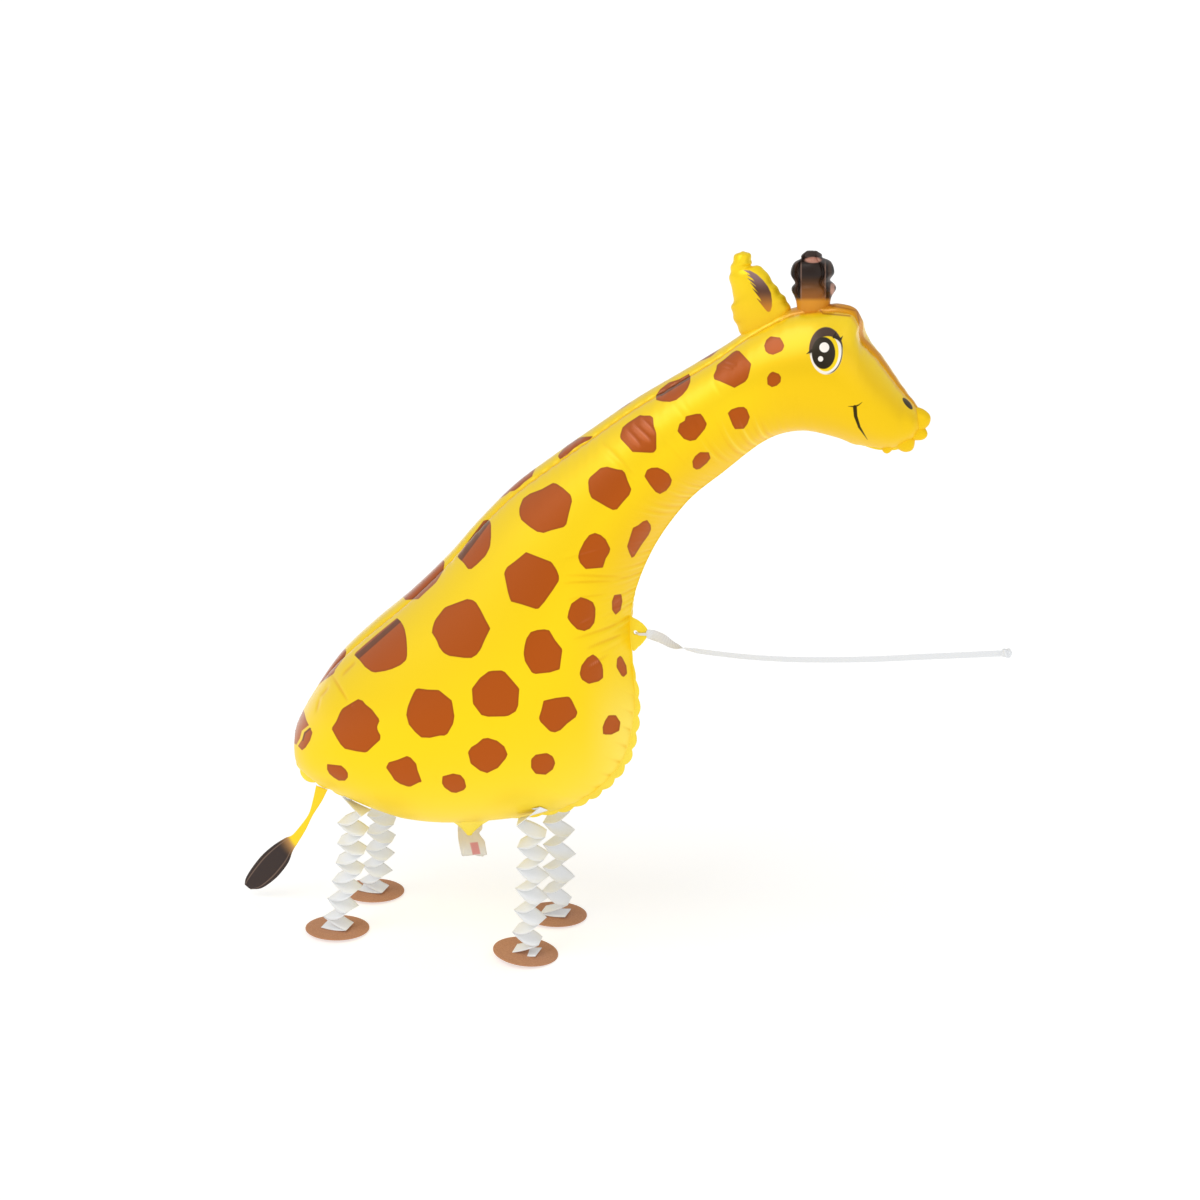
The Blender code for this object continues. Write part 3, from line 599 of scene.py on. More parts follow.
# %% Spots
SPOTS = (
    ((353.8, 654.4), (360, 660.6), (365, 666.9), (371.3, 671.5), (375, 672.5), (385, 671),
     (392.5, 668.8), (400.6, 665), (405.6, 660.6), (407, 657.5), (407.1, 648.8), (406.5, 638.8),
     (405, 630), (403, 625), (400.6, 621.3), (397, 618), (377.5, 633.8), (365, 644.4)),
    ((313, 689), (318, 685), (323, 681), (327.5, 678), (334.4, 673.1), (334.8, 670), (340, 663),
     (345, 656.3), (346.3, 652.5), (345.6, 649.4), (338, 640), (300, 676)),
    ((303, 708), (306.3, 720), (310.6, 728.8), (312.5, 732.5), (310, 740.6), (305.6, 747.5),
     (302, 750.3), (298, 746), (290, 740), (284, 722), (294, 700)),
    ((358.1, 699.1), (362.5, 700.6), (365.6, 704.4), (371.9, 709.4), (375.6, 714.4), (379.8, 720),
     (377.1, 726.3), (377.5, 730), (380.6, 735.6), (380, 740), (373.8, 745.6), (367.5, 751.6),
     (365, 752.5), (356.3, 751.3), (345, 748.8), (340.6, 744.4), (336.3, 737.5), (331.5, 728.5),
     (336.3, 721.3), (340, 712.5), (342.5, 708.5), (351.3, 703.1)),
    ((416.3, 688.8), (418.8, 688.4), (427.5, 689.6), (438.8, 690), (445, 695), (451.9, 700.6),
     (452.8, 706.3), (454.4, 716.3), (453.1, 723.8), (447.5, 733.8), (444.4, 735.6), (440, 735.6),
     (430, 737.8), (421.3, 737.5), (415, 731.9), (408.8, 724.4), (406.3, 715), (407.5, 707.5),
     (410.6, 699.4), (413.8, 692.5)),
    ((327.1, 764), (332.5, 764.6), (341.3, 765.6), (345.6, 769.4), (347.9, 773.1), (347.8, 777.5),
     (345, 780.6), (338.8, 780.6), (333.8, 777.5), (329.4, 773.8), (327.1, 769.4)),
    ((388.8, 762.3), (397.5, 759.8), (406.9, 756), (410.6, 757.5), (416.3, 763.8), (417.5, 770),
     (421.9, 781.9), (418.8, 782.5), (410.6, 786.6), (407.5, 786.5), (400, 783.8), (394.4, 780),
     (391.3, 775), (386, 767.5)),
    ((442.5, 776.3), (453.1, 773.5), (460.6, 775), (464.4, 779.4), (466.3, 786.9), (463.8, 790),
     (456.3, 792.9), (451.3, 792.3), (444.4, 787.5), (441.9, 783.1)),
    ((435, 620), (444.3, 607.9), (447.1, 606.4), (458.6, 602.1), (467.1, 599), (472.9, 600),
     (476.4, 602.9), (480.7, 610), (485.7, 620), (490.4, 628.3), (485, 639.3), (480.7, 649.3),
     (476.4, 655), (471.4, 657.9), (464.3, 657.9), (449.4, 655.9), (443.8, 653.1), (439.4, 647.5),
     (436.3, 639.4), (431.9, 633.1), (432.5, 627.5)),
    ((526.1, 552.1), (537.1, 556.4), (551.4, 561.9), (556.4, 569.3), (558.9, 575.7), (558.9, 580.7),
     (552.9, 590), (544.3, 602.1), (538.6, 608.6), (535.7, 608.9), (521.4, 604.3), (510.7, 601.4),
     (507.9, 592.1), (504, 572.9), (507.1, 567.1), (515.7, 560.7)),
    ((580.7, 597.1), (587.1, 599), (592.9, 602.1), (595.4, 607.9), (595.3, 616.4), (594.3, 622.9),
     (590, 628.6), (584.3, 631), (577.1, 629.3), (570.7, 622.9), (567.4, 617.9), (568.6, 611.4),
     (571.4, 603.6)),
    ((544.3, 629.3), (549.3, 630.3), (555, 640), (562.4, 649.3), (561.1, 658.6), (559.7, 669.3),
     (550, 672.4), (535.7, 673.9), (532.1, 672.9), (525, 661.4), (523.6, 653.6), (524.6, 645.7),
     (526.4, 638.6), (530.7, 632.1), (537.1, 630)),
    ((592.9, 654.3), (597.1, 657.1), (599.3, 660), (602.1, 664.3), (603.1, 670), (603.1, 677.9),
     (598.6, 681.4), (588.6, 683.9), (581.4, 679.3), (579.7, 673.6), (581.4, 665.7), (587.1, 657.9)),
    ((620, 655.7), (622.1, 657.1), (626.4, 665.7), (627.1, 673.6), (623.6, 677.1), (621.4, 675.7),
     (616.4, 667.1), (617.1, 658.6)),
    ((621.4, 594), (622.4, 601.4), (620.7, 610), (615.7, 615), (612.1, 610), (611.9, 601.4),
     (614.3, 595)),
    ((488.6, 671.4), (492.9, 670.7), (501.4, 670.4), (505, 672.1), (511.4, 679.3), (519.3, 688.6),
     (518.1, 705.7), (515.7, 711.4), (508.6, 715.7), (504.3, 716.4), (487.9, 716.7), (481.4, 715),
     (472.9, 703.6), (471.9, 688.6), (480, 677.9)),
    ((543.6, 700.7), (555.7, 697.9), (568.6, 696.4), (571.4, 699.3), (577.6, 712.4), (575.7, 717.1),
     (567.1, 723.6), (560.7, 730), (555, 732.4), (550, 731.4), (540, 721.4), (538.9, 717.9),
     (541.4, 710)),
    ((608.6, 715.3), (615.7, 715), (620.4, 722.1), (619.3, 730.7), (611.4, 734.6), (603.1, 734.6),
     (602.6, 727.1), (605, 720.7)),
    ((487.9, 737.9), (497.1, 740.7), (504.3, 746.4), (507.6, 754.3), (505.7, 758.6), (497.9, 767.9),
     (487.1, 773.1), (480, 770.7), (470.7, 763.6), (467.9, 752.1), (471.4, 747.1), (477.1, 743.6),
     (482.9, 738.6)),
    ((547.1, 753.1), (552.9, 756.4), (555.3, 762.9), (552.9, 769.3), (545.7, 774.7), (535.7, 773.9),
     (531.1, 767.9), (531.1, 759.3), (535.7, 754.7), (544.3, 753.3)),
    ((595, 532.9), (600.7, 535), (605.7, 539.3), (610.3, 548.6), (609.3, 552.9), (605.7, 558.6),
     (602.9, 567.6), (595.7, 568.3), (585.7, 569), (580, 562.9), (578.1, 557.1), (579.3, 551.4),
     (584.3, 541.4), (589.3, 535)),
    ((647.1, 520), (650.7, 525), (651.1, 529.3), (648.6, 535), (641.4, 545), (634.3, 556.4),
     (631.7, 557.9), (629.3, 552.9), (627.1, 546.4), (630, 537.1), (632.9, 527.9), (638.6, 525),
     (642.9, 521.4)),
    ((457.1, 556.7), (472.9, 535), (483.6, 520.7), (487.1, 519.7), (490, 520.7), (491, 524.3),
     (491, 537.1), (490, 547.1), (485.7, 555.7), (477.1, 564.3), (471.4, 569), (467.9, 569),
     (464.3, 563.6), (460.7, 560)),
    ((405.5, 600), (418.5, 599), (422, 595.5), (429, 589), (436, 582.5), (439.5, 577),
     (443.5, 570), (444.5, 562), (438, 552), (396, 588)),
    ((499, 499), (505.7, 495), (510, 491.4), (514.3, 490.7), (519.3, 487.1), (524.3, 482.1),
     (532.1, 476.4), (532.9, 473.6), (535.5, 468), (528, 460), (492, 490)),
    ((557.9, 456.4), (559.3, 453.6), (564.3, 447.9), (572.9, 440.7), (581.4, 437.1), (593.3, 436.1),
     (590, 439.3), (580, 444.3), (572.9, 449.3), (567.1, 455), (560, 459.3)),
    ((552.9, 482.9), (556.4, 483.6), (562.9, 487.9), (570.7, 495), (572.1, 500.7), (568.6, 514.3),
     (566.4, 524.3), (563.6, 527.1), (551.4, 530.3), (543.6, 532.9), (537.1, 531.7), (530, 527.1),
     (521.4, 520), (519.3, 514.3), (519.3, 507.9), (522.9, 498.6), (530, 493.6), (541.4, 489.3)),
    ((600.7, 467.9), (607.1, 466.7), (617.1, 469.3), (622.1, 470), (625, 472.9), (627.9, 481.4),
     (631.4, 489.3), (629.3, 495), (622.9, 502.1), (617.1, 509.3), (612.9, 510), (607.1, 507.1),
     (600, 502.9), (591.4, 497.9), (588.9, 491.4), (588.1, 481.4), (589.3, 477.9)),
    ((640, 415), (643.1, 415.6), (650, 415.6), (653.1, 417.5), (653.8, 426.3), (656.3, 433.1),
     (656.3, 449.4), (653.8, 452.5), (650, 452.8), (632.5, 451.9), (628.8, 447.5), (620.6, 438.8),
     (620, 435.6), (622.5, 427.5), (627.5, 423.1)),
    ((685.6, 416.3), (696.3, 413.8), (700.6, 413.8), (703.1, 416.9), (706.9, 423.8), (705, 428.8),
     (700, 435), (695.6, 440), (690, 441), (683.8, 438.8), (677.5, 431.3), (679.4, 423.8),
     (685, 420.6)),
    ((738.1, 407.1), (743.8, 406.9), (746.9, 409.4), (749.8, 416.9), (747.5, 423.8), (743.8, 428.8),
     (735, 429.1), (732.5, 425), (727.8, 413.1), (731.3, 409.4)),
    ((736.3, 350.4), (739.4, 351), (743.8, 355.6), (751.3, 363.8), (750, 370), (747.9, 378.1),
     (745, 381.9), (734.4, 387.9), (731.3, 386.3), (720, 381.3), (714.4, 379.4), (713.4, 375.6),
     (716.3, 369.4), (716.9, 365), (725, 358.8), (732.5, 352.5)),
    ((770.6, 336.3), (780, 337.5), (782.5, 341.3), (784.4, 345.6), (782.5, 350.6), (778.8, 352.5),
     (773.1, 354.8), (768.8, 353.8), (765.6, 351.3), (764.1, 345.6), (766.3, 340)),
    ((772.5, 371.5), (778.8, 373.8), (781, 376.9), (780.6, 381.9), (776.9, 385.6), (771.9, 387.1),
     (767.5, 384.4), (767.1, 377.5), (769.4, 373.8)),
    ((700, 452.1), (708.8, 452.3), (710.6, 458.1), (706.9, 463.1), (700, 468.8), (696.3, 469.6),
     (693.1, 467.5), (692.3, 461.3), (695, 456.3)),
    ((657.5, 467.5), (662.5, 469.4), (668.8, 473.8), (671.9, 480), (670.6, 485), (666.3, 490.6),
     (660, 494), (655.6, 491.9), (650, 485), (644.4, 476.3), (646.9, 470), (651.3, 467.8)),
    ((688.8, 373.8), (690.3, 376.3), (690.3, 381.9), (687.5, 388.8), (682.5, 395), (676.3, 400),
     (670, 401.9), (662.5, 401.5), (656.3, 400), (655.9, 395.6), (660, 389.4), (668.8, 382.5),
     (678.8, 379.4)),
    ((612, 413), (622, 408.5), (631, 402.5), (626, 399), (608, 409)),
    ((699, 361.5), (706.3, 358.8), (711.3, 356.3), (716.9, 351.3), (721.9, 346.3), (726, 343),
     (722, 337), (695, 357)),
)
FAR_FROM_SPOTS = 20.0


def patch_distance(places, corners):
    """Distance in pixels from a many-sided patch, negative inside. The gap to each side is
    that to its nearest point, and inside is told by the count of sides crossed."""
    inside = np.zeros(len(places), dtype=bool)
    nearest = np.full(len(places), FAR_FROM_SPOTS)
    a = np.array(corners, dtype=float)
    for p, q in zip(a, np.roll(a, -1, axis=0)):
        t = np.clip((places - p) @ (q - p) / np.sum((q - p) ** 2), 0.0, 1.0)
        nearest = np.minimum(nearest, np.linalg.norm(places - p - t[:, None] * (q - p), axis=1))
        crossing = (p[1] > places[:, 1]) != (q[1] > places[:, 1])
        rise = q[1] - p[1] if q[1] != p[1] else 1.0
        edge_x = p[0] + (places[:, 1] - p[1]) * (q[0] - p[0]) / rise
        inside ^= crossing & (places[:, 0] < edge_x)
    return np.where(inside, -nearest, nearest)


def spot_distance(points):
    """Distance of each grid point from the nearest spot, in pixels of the photograph."""
    places = print_place(points).reshape(-1, 2)
    distance = np.full(len(places), FAR_FROM_SPOTS)
    for corners in SPOTS:
        low = np.min(corners, axis=0) - FAR_FROM_SPOTS
        high = np.max(corners, axis=0) + FAR_FROM_SPOTS
        near = np.all((places > low) & (places < high), axis=1)
        if near.any():
            distance[near] = np.minimum(distance[near], patch_distance(places[near], corners))
    return distance.reshape(points.shape[:2])


panel_spots = spot_distance(panel)
print("spots", len(SPOTS), "share of the panel", round(float(np.mean(panel_spots < 0)), 3))

# %% [markdown]
# ## Foil finish
# The film is printed yellow over a thin metal layer, so it is satin: a little metallic,
# with a broad highlight. The print edge is slightly darker than the patch, as ink pools
# there. The face is drawn in the same picture places with ovals and tapered strokes.
# Light and shade are also painted into the colour: paler on the lower belly and chest,
# darker under the neck, on the lower head and along the seams, darker in the valleys of
# the folds and lighter on their ridges.

# %% Foil finish
YELLOW = paint(255, 218, 26)
# painted light: a paler yellow for the lower belly, where the white floor lights it, and for the
# highlight along the rump fold
YELLOW_LIT = paint(255, 226, 56)
# painted shade: a darker, warmer yellow for the underside of the neck, the lower head and the base
# of the ear
YELLOW_SHADED = paint(247, 203, 24)
# painted shade: a deep yellow for the valleys of folds and beside the seams
YELLOW_DEEP_SHADE = paint(240, 180, 10)
SPOT_BROWN = paint(180, 82, 20)
SPOT_EDGE = paint(150, 72, 20)
# painted highlight for the ridges of folds
YELLOW_SHINE = paint(255, 238, 110)
# painted highlight: a paler yellow for the lower chest
CHEST_LIT = paint(255, 238, 130)
# painted shade for the folds of the amber collar
COLLAR_FOLD_SHADE = paint(172, 100, 28)
# painted highlight on the spots where they cross fold ridges and creases
SPOT_SHINE = paint(220, 132, 100)
SEAM_SHADOW = paint(100, 45, 20)
AMBER = paint(220, 148, 36)
EYE_BLACK = paint(36, 30, 26)
LID_BROWN = paint(74, 54, 48)
EYE_WHITE = paint(252, 246, 236)
MOUTH_BROWN = paint(52, 40, 14)
# painted shade: dark lines in the folds of the amber collar
COLLAR_SHADE_LINES = (
    ((829, 305), (846, 308.5), 1.8, 1.4), ((846, 308.5), (857, 311), 1.7, 1.3),
    ((857, 311), (859.5, 323), 1.7, 1.3), ((803, 307.5), (818, 308), 1.7, 1.3),
    ((818, 308), (823, 313), 1.7, 1.3), ((823, 313.5), (850, 316), 1.7, 1.3),
)
LASHES = (
    ((834.0, 337.0), (836.4, 331.5), 3.0, 0.2), ((836.5, 337.5), (840.5, 339.3), 3.6, 2.6),
    ((840.5, 339.3), (842.9, 335.8), 2.6, 0.2), ((811.5, 351.0), (806.4, 354.0), 3.4, 0.3),
)
SMILE = (
    ((854.9, 407.0), (855.6, 416.0), 4.0, 3.6), ((855.6, 416.0), (859.3, 427.0), 3.6, 2.6),
    ((859.3, 427.0), (867.3, 439.4), 2.6, 0.4), ((854.5, 406.6), (848.2, 406.3), 1.6, 0.3),
    ((855.0, 406.6), (858.8, 404.9), 1.8, 1.1), ((858.8, 404.9), (862.2, 402.2), 1.1, 0.3),
)
# painted shade: dark bands on the spots beside the gusset seam
SEAM_SHADE_BANDS = (
    ((357.0, 657.0), (399.0, 620.5), 5.5, 4.5), ((459.5, 559.0), (487.5, 522.5), 5.5, 4.0),
    ((661.0, 394.0), (690.0, 377.0), 4.0, 3.0),
)
# painted highlight along the fold over the rump spot; the painted shadow beside it follows
RUMP_FOLD_HIGHLIGHT = (
    ((309.0, 726.5), (303.0, 731.5), 2.4, 2.6), ((303.0, 731.5), (301.0, 738.8), 2.6, 2.4),
    ((301.0, 738.8), (297.0, 745.5), 2.4, 2.0),
)
RUMP_SHADOW = (
    ((310.5, 728.5), (304.8, 733.0), 1.2, 1.6), ((304.8, 733.0), (302.8, 740.2), 1.6, 1.4),
)


def draw_face(x, y, colour):
    """Eye, lashes, nostril and smile over the print."""
    outer = oval(x, y, 826.2, 351.0, 16.4, 23.4)
    inner = cover(oval(x, y, 827.8, 355.4, 16.2, 19.2))
    colour = cover(outer).choose(colour, EYE_WHITE)
    rim = cover(outer) * (1.0 - cover(oval(x, y, 825.4, 351.0, 16.2, 22.6)))
    colour = (rim * x.ramp(824.0, 834.0)).choose(colour, EYE_BLACK)
    colour = cover(oval(x, y, 825.8, 352.2, 12.9, 19.2)).choose(colour, YELLOW)
    lid = cover(oval(x, y, 826.0, 350.2, 17.0, 23.2)) * (1.0 - inner) * y.ramp(357.0, 350.0)
    colour = lid.choose(colour, LID_BROWN)
    colour = cover(oval(x, y, 823.5, 353.0, 11.8, 16.1), 0.04).choose(colour, EYE_BLACK)
    colour = cover(oval(x, y, 824.3, 347.4, 4.9, 5.0), 0.07).choose(colour, EYE_WHITE)
    colour = cover(oval(x, y, 820.6, 358.9, 2.6, 2.7), 0.12).choose(colour, EYE_WHITE)
    colour = strokes(x, y, LASHES).choose(colour, EYE_BLACK)
    nostril = cover(oval(x, y, 907.6, 403.6, 7.4, 2.5, math.radians(50.0)), 0.10)
    colour = nostril.choose(colour, MOUTH_BROWN)
    return strokes(x, y, SMILE).choose(colour, MOUTH_BROWN)


def foil_finish(name, with_face, amber_head):
    """Printed foil: yellow with painted light and shade by height, painted shade and highlight on
    folds, then spots, painted shade at seams and creases, and face.
    """
    material, start, shader = new_finish(name, 0.38, 0.28)
    shader.inputs["Specular Tint"].default_value = (1.0, 0.80, 0.30, 1.0)
    shader.inputs["Coat Roughness"].default_value = 0.22
    x, y = read_place(start)
    distance = read_number(start, "spot")
    rise = read_number(start, "rise")
    # painted light: the lower belly is paler, as the white floor lights it from below
    colour = (y.ramp(680.0, 820.0) * rise.ramp(0.6, 0.1)).choose(YELLOW, YELLOW_LIT)
    # painted shade: the underside of the neck and the head below its top are darker
    low_neck_shade = rise.ramp(0.75, 0.25) * y.ramp(640.0, 540.0)
    colour = low_neck_shade.most(x.ramp(700.0, 800.0) * rise.ramp(0.95, 0.70)).choose(colour, YELLOW_SHADED)
    # painted highlight: the lower chest is paler
    colour = (x.ramp(580.0, 640.0) * y.ramp(660.0, 730.0) * 0.55).choose(colour, CHEST_LIT)
    if amber_head:
        colour = x.ramp(768.0, 800.0).choose(colour, AMBER)
    fold_height = read_number(start, "fold")
    # painted shade in the valleys of the folds and painted highlight on their ridges
    colour = (fold_height.ramp(-0.05, -0.75) * 0.7).choose(colour, YELLOW_DEEP_SHADE)
    colour = (fold_height.ramp(0.10, 0.80) * 0.6).choose(colour, YELLOW_SHINE)
    ink = distance.ramp(0.5, -0.5)
    edge = ink * distance.ramp(-2.6, -0.4)
    # spot print with a painted highlight where the ink crosses a fold ridge or crease
    print_with_highlight = (abs(fold_height).ramp(0.15, 0.75) * 0.55).choose(SPOT_BROWN, SPOT_SHINE)
    colour = ink.choose(colour, print_with_highlight)
    colour = (edge * 0.55).choose(colour, SPOT_EDGE)
    # painted shade along the seams: dark on the spots and deeper yellow off them
    valley_shade = read_number(start, "valley_shade")
    if not amber_head:
        colour = (strokes(x, y, SEAM_SHADE_BANDS) * ink * 0.9).choose(colour, SEAM_SHADOW)
    colour = (valley_shade * ink).choose(colour, SEAM_SHADOW)
    colour = (valley_shade * (1.0 - ink) * 0.6).choose(colour, YELLOW_DEEP_SHADE)
    # painted shadow and painted highlight of the fold over the rump spot
    colour = (strokes(x, y, RUMP_SHADOW) * 0.9).choose(colour, SEAM_SHADOW)
    colour = (strokes(x, y, RUMP_FOLD_HIGHLIGHT) * 0.9).choose(colour, YELLOW_LIT)
    # painted shade in the folds of the collar
    colour = (strokes(x, y, COLLAR_SHADE_LINES) * 0.7).choose(colour, COLLAR_FOLD_SHADE)
    if with_face:
        colour = draw_face(x, y, colour)
    start.plug(shader.inputs["Base Color"], colour)
    coat = rise.ramp(0.55, 0.95) * 0.7
    if amber_head:
        coat = coat * x.ramp(850.0, 834.0)
    start.plug(shader.inputs["Coat Weight"], coat)
    return material


printed_foil = foil_finish("printed_foil", True, False)
gusset_foil = foil_finish("gusset_foil", False, True)
plain_foil = foil_finish("plain_foil", False, False)
seam_foil, start, shader = new_finish("seam_foil", 0.45, 0.05)
x, y = read_place(start)
# painted light: the flange and the tab are paler lower down, where the floor lights them
colour = y.ramp(600.0, 760.0).choose(paint(255, 229, 50), paint(255, 230, 76))
start.plug(shader.inputs["Base Color"], colour)

# painted shade beside the gusset seam, kept on the panel's points
panel_valley_shade = np.clip(gusset_gap / 0.0012, 0.3, 1) * np.clip((0.0078 - gusset_gap) / 0.0025, 0, 1)
panel_rise = np.broadcast_to(share, panel_valley_shade.shape)
side_panels = []
for name, side in (("side_panel_right", 1.0), ("side_panel_left", -1.0)):
    side_panels.append(grid_piece(name, panel * (1.0, side, 1.0), printed_foil,
                                  ["balloon_body"], outward=(0.0, -side, 0.0),
                                  values={"spot": panel_spots, "valley_shade": panel_valley_shade,
                                          "rise": panel_rise, "fold": panel_fold * 1000}))
print("side panels", len(side_panels), "with", len(panel_spots.ravel()), "points each")

# %% [markdown]
# ## Gusset
# The gusset is the narrow strip welded between the two panels from the rump over the back
# and the head to the nose. It bulges between its two seams as a half ellipse: height
# (crown - seam) sin a and side y cos a. On the head it is printed amber, and it is crumpled
# where the horn pulls at it.

# %% Gusset
CRUMPLE_X = 0.243
CRUMPLE_HEIGHT = 0.0011
CRUMPLE_REACH = 0.035
seam_height = panel_heights[:, -1]
seam_side = panel_sides[:, -1]
sweep = np.linspace(0.0, np.pi, GUSSET_COUNT)
gusset_rise = (2 * half_height - seam_height)[:, None] * np.sin(sweep)
gusset_heights = seam_height[:, None] + gusset_rise
gusset_sides = -seam_side[:, None] * np.cos(sweep)
gusset = lift(gusset_heights, gusset_sides)
seam_gap = np.minimum(sweep, np.pi - sweep)[None, :] * np.maximum(seam_side, 0.002)[:, None]
gusset_normal = grid_normals(gusset)
gusset_normal *= np.sign(np.sum(gusset_normal * (-up[:, 1].mean(), 0.0, 1.0)))
near_horn = np.clip(1 - abs(back[:, 0] - CRUMPLE_X) / CRUMPLE_REACH, 0, 1)
crumple = CRUMPLE_HEIGHT * wander(back_run / 0.008, 31) * near_horn
seam_folds = 0.8 * gusset_folds(seam_gap) * np.clip(seam_gap / 0.001, 0, 1)
gusset_fold = crumple[:, None] * np.sin(sweep) + seam_folds - crease_depth(gusset)
gusset = gusset + gusset_normal * (gusset_fold * end_fade)[..., None]
# the gusset keeps painted shade beside its two seams
gusset_values = {"spot": spot_distance(gusset), "valley_shade": np.exp(-seam_gap / 0.003),
                 "rise": np.ones(gusset.shape[:2])}
grid_piece("gusset", gusset, gusset_foil, ["balloon_body"], outward=gusset_normal,
           values=gusset_values)
print("gusset", round(float(seam_side.max()) * 2000, 1), "mm wide at most")

# %% [markdown]
# ## Belly seam flange
# Outside the weld the two panels go on as one flat flange. Where the seam is tightly curved
# the flange gathers into round scallops, about one every 17 mm. It is drawn as a thin strip:
# out along one face, round the edge and back along the other, with both ends inside the
# panels.

# %% Flange
FLANGE_SECTION = (
    (-0.4, -1.0), (0.0, -1.0), (0.35, -0.9), (0.7, -0.8), (0.92, -0.6), (1.0, 0.0),
    (0.92, 0.6), (0.7, 0.8), (0.35, 0.9), (0.0, 1.0), (-0.4, 1.0),
)
FLANGE_WAVE = 0.0008
runs = np.gradient(belly, axis=0)
flange_normal = np.stack((runs[:, 1], -runs[:, 0]), axis=1)
flange_normal /= np.linalg.norm(flange_normal, axis=1)[:, None]
flange_normal *= np.sign(np.sum(flange_normal * (belly - back), axis=1))[:, None]
scallop = np.abs(np.sin(np.pi * belly_run / SCALLOP_PITCH)) ** 0.8
flange_depth = (SEAM_FLANGE + SCALLOP_DEPTH * scallop) * flange_share
ripple = FLANGE_WAVE * flange_share * np.sin(np.pi * belly_run / SCALLOP_PITCH)


def flange_line(depth, side):
    """Line along the flange at a share of its depth, pushed sideways by the lobes."""
    out = belly + flange_normal * (flange_depth * depth)[:, None]
    sideways = side * SEAM_THICKNESS / 3 + ripple * max(depth, 0.0)
    return np.stack((out[:, 0], sideways, out[:, 1]), axis=-1)


flange = np.stack([flange_line(depth, side) for depth, side in FLANGE_SECTION], axis=1)
grid_piece("seam_flange", flange, seam_foil, ["balloon_body"])
print("flange", round(float(flange_depth.max()) * 1000, 1), "mm deep")

# %% [markdown]
# ## Ear and horn
# Each is a small flat pouch that stands in the centre plane. Its section is a pointed oval,
# cos a along the pouch and sin a across it, raised to a power so that the edge is a seam.
# The horn's edge is gathered into dark lobes on both sides of a smooth raised middle.

# %% Ear
EAR_ROWS = (
    (0.735, 0.800, 0.800, 0.840, 0.018),
    (0.718, 0.826, 0.791, 0.865, 0.021),
    (0.709, 0.851, 0.777, 0.882, 0.021),
    (0.712, 0.869, 0.763, 0.900, 0.019),
    (0.706, 0.889, 0.752, 0.913, 0.017),
    (0.706, 0.905, 0.737, 0.915, 0.013),
    (0.709, 0.918, 0.737, 0.921, 0.015),
    (0.713, 0.929, 0.734, 0.931, 0.011),
    (0.721, 0.934, 0.727, 0.934, 0.003),
)
HORN_ROWS = (
    (0.806, 0.840, 0.850, 0.840, 0.018),
    (0.803, 0.867, 0.852, 0.872, 0.021),
    (0.796, 0.885, 0.859, 0.888, 0.024),
    (0.801, 0.895, 0.850, 0.898, 0.021),
    (0.794, 0.907, 0.856, 0.910, 0.024),
    (0.798, 0.921, 0.851, 0.923, 0.021),
    (0.808, 0.928, 0.839, 0.929, 0.013),
    (0.809, 0.933, 0.837, 0.934, 0.014),
    (0.816, 0.939, 0.831, 0.939, 0.005),
)
EAR_HAIRS = (
    ((747.2, 274.6), (758.0, 280.0)), ((747.8, 278.2), (759.0, 286.0)),
    ((750.4, 282.6), (761.0, 293.0)), ((752.6, 288.6), (764.0, 300.0)),
    ((757.0, 298.6), (767.0, 308.0)),
)
POUCH_ROWS = 150
POUCH_SIDES = 96


def pouch(table, edge_power):
    """Grid of a flat pouch from rear and front edges and a half thickness."""
    rows = even_rows(table, ((0, 1), (2, 3)), POUCH_ROWS)
    rear, front = edge_line(rows, 0), edge_line(rows, 2)
    middle, reach = (rear + front) / 2, (front - rear) / 2
    turn = ring(POUCH_SIDES)
    in_plane = middle[:, None, :] + reach[:, None, :] * np.cos(turn)[None, :, None]
    bulge = np.sign(np.sin(turn)) * np.abs(np.sin(turn)) ** edge_power
    side = (np.maximum(rows[:, 4], 0.002) * LENGTH)[:, None] * bulge
    return np.stack((in_plane[..., 0], side, in_plane[..., 1]), axis=-1), turn


EAR_FOLD = 0.0005
EAR_FOLD_PITCH = 0.011
EAR_LENGTH = 0.085
ear, ear_turn = pouch(EAR_ROWS, 1.15)
ear_normal = grid_normals(ear)
ear_normal *= np.sign(np.sum(ear_normal * (ear - ear.mean(axis=1, keepdims=True))))
ear_run = np.linspace(0, EAR_LENGTH, POUCH_ROWS)
ear_phase = 2 * np.pi * ear_run / EAR_FOLD_PITCH + 2 * wander(ear_run / 0.02, 21)
ear_fold = EAR_FOLD * (np.sin(ear_phase)[:, None] * np.abs(np.cos(ear_turn)) ** 3)
ear = ear + ear_normal * ear_fold[..., None]

ear_finish, start, shader = new_finish("ear_foil", 0.38, 0.3)
x, y = read_place(start)
patch = read_number(start, "spot")
hairs = strokes(x, y, [(tip, root, 0.4, 4.6) for tip, root in EAR_HAIRS])
inner = y.ramp(272.0, 292.0).choose(paint(150, 118, 118), paint(96, 62, 46))
inner = y.ramp(290.0, 311.0).choose(inner, paint(205, 130, 40))
# painted shade: the ear is darker towards its base
colour = y.ramp(262.0, 330.0).choose(YELLOW, YELLOW_SHADED)
colour = patch.ramp(0.6, -0.6).most(hairs).choose(colour, inner)
start.plug(shader.inputs["Base Color"], colour)

